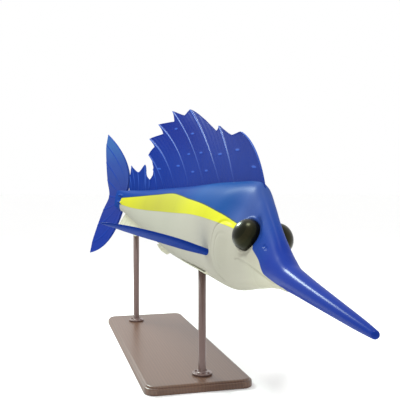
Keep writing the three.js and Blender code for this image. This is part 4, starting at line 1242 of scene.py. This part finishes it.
def pelvic_blade(side):
    """A long thin fin laid back along the belly: an oval section carried along the skin.

    It rises out of the body over its first part, then runs clear of it, and thins to its tip.
    """
    v = np.concatenate([[0, 0.002, 0.008], np.linspace(0.02, 0.96, 70), [0.98, 0.992, 0.998, 1]])
    v, turn = v[:, None], full_turn(28)
    s = PELVIC["from"] + (PELVIC["to"] - PELVIC["from"]) * v
    angle = PELVIC["angle"] if side > 0 else math.pi - PELVIC["angle"]
    risen = np.clip(v / PELVIC["free_from"], 0, 1)
    middle = skin_point(s, angle, (PELVIC["buried"] + PELVIC["clear"]) * risen - PELVIC["buried"])
    facing = np.array([0, side * math.cos(PELVIC["angle"]), math.sin(PELVIC["angle"])])
    along = np.array([0, -side * math.sin(PELVIC["angle"]), math.cos(PELVIC["angle"])])
    ends = rounding(v, PELVIC["root_end"]) * rounding(1 - v, PELVIC["tip_end"])
    chord = PELVIC["chord"] / 2 * (1 - (1 - PELVIC["tip_chord"]) * v) * ends
    thick = PELVIC["thick"] * (1 - (1 - PELVIC["tip_thick"]) * v) * ends
    across = (chord * np.cos(turn))[..., None] * along
    deep = (thick * np.sin(turn))[..., None] * facing
    return closed_tube(fish_values(middle + across + deep, [0.0, NO_SPOT]))


class SAILFISH_OT_paired_fins(bpy.types.Operator):
    """Adds the pectoral and the pelvic fins"""

    bl_idname = "sailfish.paired_fins"
    bl_label = "Add paired fins"

    def execute(self, context):
        paint = context.scene.sailfish_paint
        blue = blue_fin_material("sprayed_fibreglass_blade", paint)
        pale = pale_fin_material("sprayed_fibreglass_pale_blade", paint)
        for side, label in ((1, "left"), (-1, "right")):
            add_piece(
                f"pectoral_blade_{label}", *pectoral_blade(side), blue, "blue_skin",
                [f"pectoral_fin_{label}"], FIN_FIELDS)
            add_piece(
                f"pelvic_blade_{label}", *pelvic_blade(side), pale, "pale_skin",
                [f"pelvic_fin_{label}"], FIN_FIELDS)
        return {"FINISHED"}


# Stand

BASE = {"length": 1.1, "width": 0.36, "corner": 40 * MM, "around": 240}

# The board's edge from below: a chamfer with a soft corner, an upright side, a small step, a quarter
# round, a ledge and a second quarter round up to the top. Values with at are shares of the height.
EDGE = {
    "chamfer": 3 * MM, "soft": 0.6 * MM, "upright_at": 0.5, "step": 0.3 * MM, "step_at": 0.55,
    "round": 5 * MM, "round_at": 0.58, "ledge": 1 * MM, "ledge_rise": 0.3 * MM, "flat": 2 * MM,
}

# A rod stands under the belly at s, aside of the fish's middle, and runs this far into the body.
RODS = {
    "front": {"s": 0.41, "aside": 0, "into": 8 * MM},
    "rear": {"s": 0.895, "aside": 18 * MM, "into": 33 * MM},
}
ROD_AROUND = 64
FLANGE = {
    "radius": 34 * MM, "height": 7 * MM, "fillet": 6 * MM, "gap": 0.3 * MM, "bevel": 1 * MM,
    "lip": 2 * MM,
}
SCREW = {
    "radius": 4.2 * MM, "height": 3 * MM, "ring": 25 * MM, "count": 4, "sunk": 1 * MM, "around": 20,
}

# A screw's rim, slope, flat and socket, as shares of its radius and height.
SCREW_TOP = [(1, 0.6), (0.92, 0.85), (0.75, 1), (0.45, 1), (0.42, 0.35), (0, 0.35)]

# Sine and one minus cosine over a quarter circle, for rounds, lips and fillets.
QUARTER = [(math.sin(a), 1 - math.cos(a)) for a in np.linspace(0, math.pi / 2, 7)]


def lathe(profile, around, centre):
    """A profile of (radius, height), its ends on the axis, turned about an upright axis at centre."""
    radius, height = np.array(profile, float).T[:, :, None]
    turn = full_turn(around)
    points = np.stack([radius * np.cos(turn), radius * np.sin(turn), height + 0 * turn], -1)
    return closed_tube(points + np.asarray(centre, float))


def rounded_outline(inset, count):
    """Points round the board's edge, drawn in by inset: quarter circles joined by straight sides.

    A quarter circle takes up the middle two thirds of a quarter's points.
    """
    t = np.arange(count) / count
    corner = np.floor(t * 4)
    angle = (corner + np.clip((t * 4 - corner) * 1.5 - 0.25, 0, 1)) * math.pi / 2
    across = np.stack([np.cos(angle), np.sin(angle)], -1)
    middle = np.array([BASE["length"], BASE["width"]]) / 2 - BASE["corner"]
    sign = np.stack([
        np.where((corner == 0) | (corner == 3), 1, -1), np.where(corner < 2, 1, -1),
    ], -1)
    return sign * middle + (BASE["corner"] - inset) * across


def board_mesh(height):
    """The board: its edge profile carried round its outline and closed at the middle of both faces."""
    chamfer, soft, step, low = EDGE["chamfer"], EDGE["soft"], EDGE["step"], EDGE["round"]
    profile = [
        (chamfer, 0), (soft, soft), (0, chamfer), (0, height * EDGE["upright_at"]),
        (step, height * EDGE["step_at"]),
    ]
    profile += [(step + low * turned, height * EDGE["round_at"] + low * up) for up, turned in QUARTER]
    inset, start = profile[-1][0] + EDGE["ledge"], profile[-1][1] + EDGE["ledge_rise"]
    high = height - start
    profile += [(inset + high * turned, start + high * up) for up, turned in QUARTER]
    profile.append((profile[-1][0] + EDGE["flat"], height))
    count = BASE["around"]
    rings = [
        np.concatenate([rounded_outline(inset, count), np.full((count, 1), z)], 1)
        for inset, z in profile
    ]
    first, last = np.zeros((count, 3)), np.tile([0, 0, height], (count, 1))
    return closed_tube(np.stack([first, *rings, last]))


def rod_mesh(foot, top, radius):
    """A rod with a flanged foot and a fillet. Its top runs into the belly."""
    reach, rise = FLANGE["radius"], FLANGE["height"]
    bevel, round_edge, fillet = FLANGE["bevel"], FLANGE["lip"], FLANGE["fillet"]
    lip = [(reach - round_edge * turned, rise - round_edge * (1 - up)) for up, turned in QUARTER]
    curve = [(radius + fillet * (1 - up), rise + fillet * turned) for up, turned in QUARTER]
    length = top - foot[2]
    profile = [(0, 0), (reach - bevel, 0), (reach, bevel), *lip, *curve, (radius, length), (0, length)]
    return lathe(profile, ROD_AROUND, foot)


def screw_mesh(centre):
    """A screw's round head with a socket in its top."""
    radius, height, sunk = SCREW["radius"], SCREW["height"], SCREW["sunk"]
    top = [(radius * across, height * up) for across, up in SCREW_TOP]
    return lathe([(0, -sunk), (radius, -sunk), *top], SCREW["around"], centre)


def joined(meshes):
    """Several closed meshes as one."""
    vertices, groups, start = [], {3: [], 4: []}, 0
    for places, faces in meshes:
        for group in faces:
            groups[group.shape[1]].append(group + start)
        vertices.append(places)
        start += len(places)
    return np.concatenate(vertices), [np.concatenate(group) for group in groups.values() if group]


class SAILFISH_OT_stand(bpy.types.Operator):
    """Adds the board and its two rods"""

    bl_idname = "sailfish.stand"
    bl_label = "Add stand"

    def execute(self, context):
        stand = context.scene.sailfish_stand
        add_piece(
            "board", *board_mesh(stand.height), wood_material(stand), "base_wood", ["stand_base"])
        steel = rod_material(stand)
        for label, rod in RODS.items():
            low = float(belly(rod["s"])) * LENGTH
            under = posed(np.array([-rod["s"] * LENGTH, rod["aside"], low]))
            foot = np.array([under[0], under[1], stand.height + FLANGE["gap"]])
            mesh = rod_mesh(foot, under[2] + rod["into"], stand.rod_radius)
            add_piece(f"rod_{label}", *mesh, steel, "rod_metal", [f"stand_rod_{label}"])
            turn = math.pi / SCREW["count"] + full_turn(SCREW["count"])[0]
            ring = np.stack([np.cos(turn), np.sin(turn), 0 * turn], -1) * SCREW["ring"]
            heads = [screw_mesh(foot + offset + [0, 0, FLANGE["height"]]) for offset in ring]
            add_piece(f"rod_{label}_screws", *joined(heads), steel, "rod_metal")
        return {"FINISHED"}


# Stage

# The photo's camera. Aim and distance are counted from the fish's middle as shares of LENGTH. The focal
# length is 620.39 of the photo's 400 pixels, here on a sensor of 36 mm.
SENSOR = 36
CAMERA = {
    "azimuth": math.radians(75.425), "elevation": math.radians(1.4065), "distance": 1.21838,
    "aim": (-0.0369, 0, 0.03069), "focal": 620.39 / 400 * SENSOR, "sight": 200,
}

# Soft lights: place and aim counted from the fish's middle, size, colour and roll about the direction.
LAMPS = {
    "overhead": ((0.6, -0.3, 2.2), (0.4, 0, 0), (0.5, 0.5), (1, 1, 1), 0),
    "window": ((-1.83, -0.87, 1.54), (0.5, 0, 0.1), (0.45, 0.9), (0.85, 1, 0.95), math.radians(-45)),
}

# The floor is a disc that lies just under the board, so that their faces don't fight.
FLOOR = {"radius": 40, "under": 0.3 * MM, "around": 96}


def area_light(name, power):
    """Adds one of the soft lights."""
    place, aim, size, colour, roll = LAMPS[name]
    light = bpy.data.lights.new(name, "AREA")
    light.shape = "RECTANGLE"
    light.size, light.size_y = size
    light.energy = power
    light.color = colour
    lamp = bpy.data.objects.new(name, light)
    lamp.location = FISH_AT + place
    lamp.visible_camera = False
    towards = Vector(FISH_AT + aim) - Vector(FISH_AT + place)
    lamp.rotation_euler = towards.to_track_quat("-Z", "Y").to_euler()
    lamp.rotation_euler.rotate_axis("Z", roll)
    bpy.context.scene.collection.objects.link(lamp)


class SAILFISH_OT_stage(bpy.types.Operator):
    """Adds the floor, the lights and the camera"""

    bl_idname = "sailfish.stage"
    bl_label = "Add stage"

    def execute(self, context):
        stage = context.scene.sailfish_stage
        scene = context.scene
        world = bpy.data.worlds.new("studio_world")
        world.use_nodes = True
        background = world.node_tree.nodes["Background"]
        background.inputs[0].default_value = (1, 1, 1, 1)
        background.inputs[1].default_value = stage.sky
        scene.world = world
        scene.view_settings.view_transform = "Standard"
        material, tree, shader = new_material("matt_paper_floor")
        set_finish(
            tree, shader, clouded(tree, object_place(tree), stage.floor, "floor"), Roughness=0.9)
        turn = full_turn(FLOOR["around"])[0]
        radius = FLOOR["radius"]
        rim = np.stack([radius * np.cos(turn), radius * np.sin(turn), 0 * turn - FLOOR["under"]], -1)
        mesh = bpy.data.meshes.new("floor")
        mesh.from_pydata(rim.tolist(), [], [list(range(FLOOR["around"]))])
        mesh.materials.append(material)
        floor = bpy.data.objects.new("floor", mesh)
        scene.collection.objects.link(floor)
        area_light("overhead", stage.overhead)
        area_light("window", stage.window)
        azimuth, elevation = CAMERA["azimuth"], CAMERA["elevation"]
        towards = Vector((
            math.sin(azimuth) * math.cos(elevation), -math.cos(azimuth) * math.cos(elevation),
            math.sin(elevation),
        ))
        lens = bpy.data.cameras.new("photo_camera")
        lens.sensor_width = SENSOR
        lens.lens = CAMERA["focal"]
        lens.clip_end = CAMERA["sight"]
        camera = bpy.data.objects.new("photo_camera", lens)
        from_fish = Vector(CAMERA["aim"]) + CAMERA["distance"] * towards
        camera.location = Vector(FISH_AT) + LENGTH * from_fish
        camera.rotation_euler = (-towards).to_track_quat("-Z", "Y").to_euler()
        scene.collection.objects.link(camera)
        scene.camera = camera
        return {"FINISHED"}


OPERATORS = (
    SAILFISH_OT_skin, SAILFISH_OT_eyes, SAILFISH_OT_sail, SAILFISH_OT_small_fins, SAILFISH_OT_tail_fin,
    SAILFISH_OT_paired_fins, SAILFISH_OT_stand, SAILFISH_OT_stage,
)
SETTINGS = {
    "sailfish_paint": PaintSettings, "sailfish_fins": FinSettings, "sailfish_stand": StandSettings,
    "sailfish_stage": StageSettings,
}


class SAILFISH_PT_panel(bpy.types.Panel):
    """Lists the settings and the pieces"""

    bl_label = "Sailfish"
    bl_space_type = "VIEW_3D"
    bl_region_type = "UI"
    bl_category = "Sailfish"

    def draw(self, context):
        for name, group in SETTINGS.items():
            box = self.layout.box()
            for key in group.__annotations__:
                box.prop(getattr(context.scene, name), key)
        for operator in OPERATORS:
            self.layout.operator(operator.bl_idname)


def register():
    for group in SETTINGS.values():
        bpy.utils.register_class(group)
    for name, group in SETTINGS.items():
        setattr(bpy.types.Scene, name, PointerProperty(type=group))
    for operator in OPERATORS:
        bpy.utils.register_class(operator)
    bpy.utils.register_class(SAILFISH_PT_panel)


def unregister():
    bpy.utils.unregister_class(SAILFISH_PT_panel)
    for operator in reversed(OPERATORS):
        bpy.utils.unregister_class(operator)
    for name in SETTINGS:
        delattr(bpy.types.Scene, name)
    for group in SETTINGS.values():
        bpy.utils.unregister_class(group)


def main():
    register()
    bpy.ops.sailfish.skin()
    bpy.ops.sailfish.eyes()
    bpy.ops.sailfish.sail()
    bpy.ops.sailfish.small_fins()
    bpy.ops.sailfish.tail_fin()
    bpy.ops.sailfish.paired_fins()
    bpy.ops.sailfish.stand()
    bpy.ops.sailfish.stage()
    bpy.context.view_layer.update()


if __name__ == "__main__":
    main()
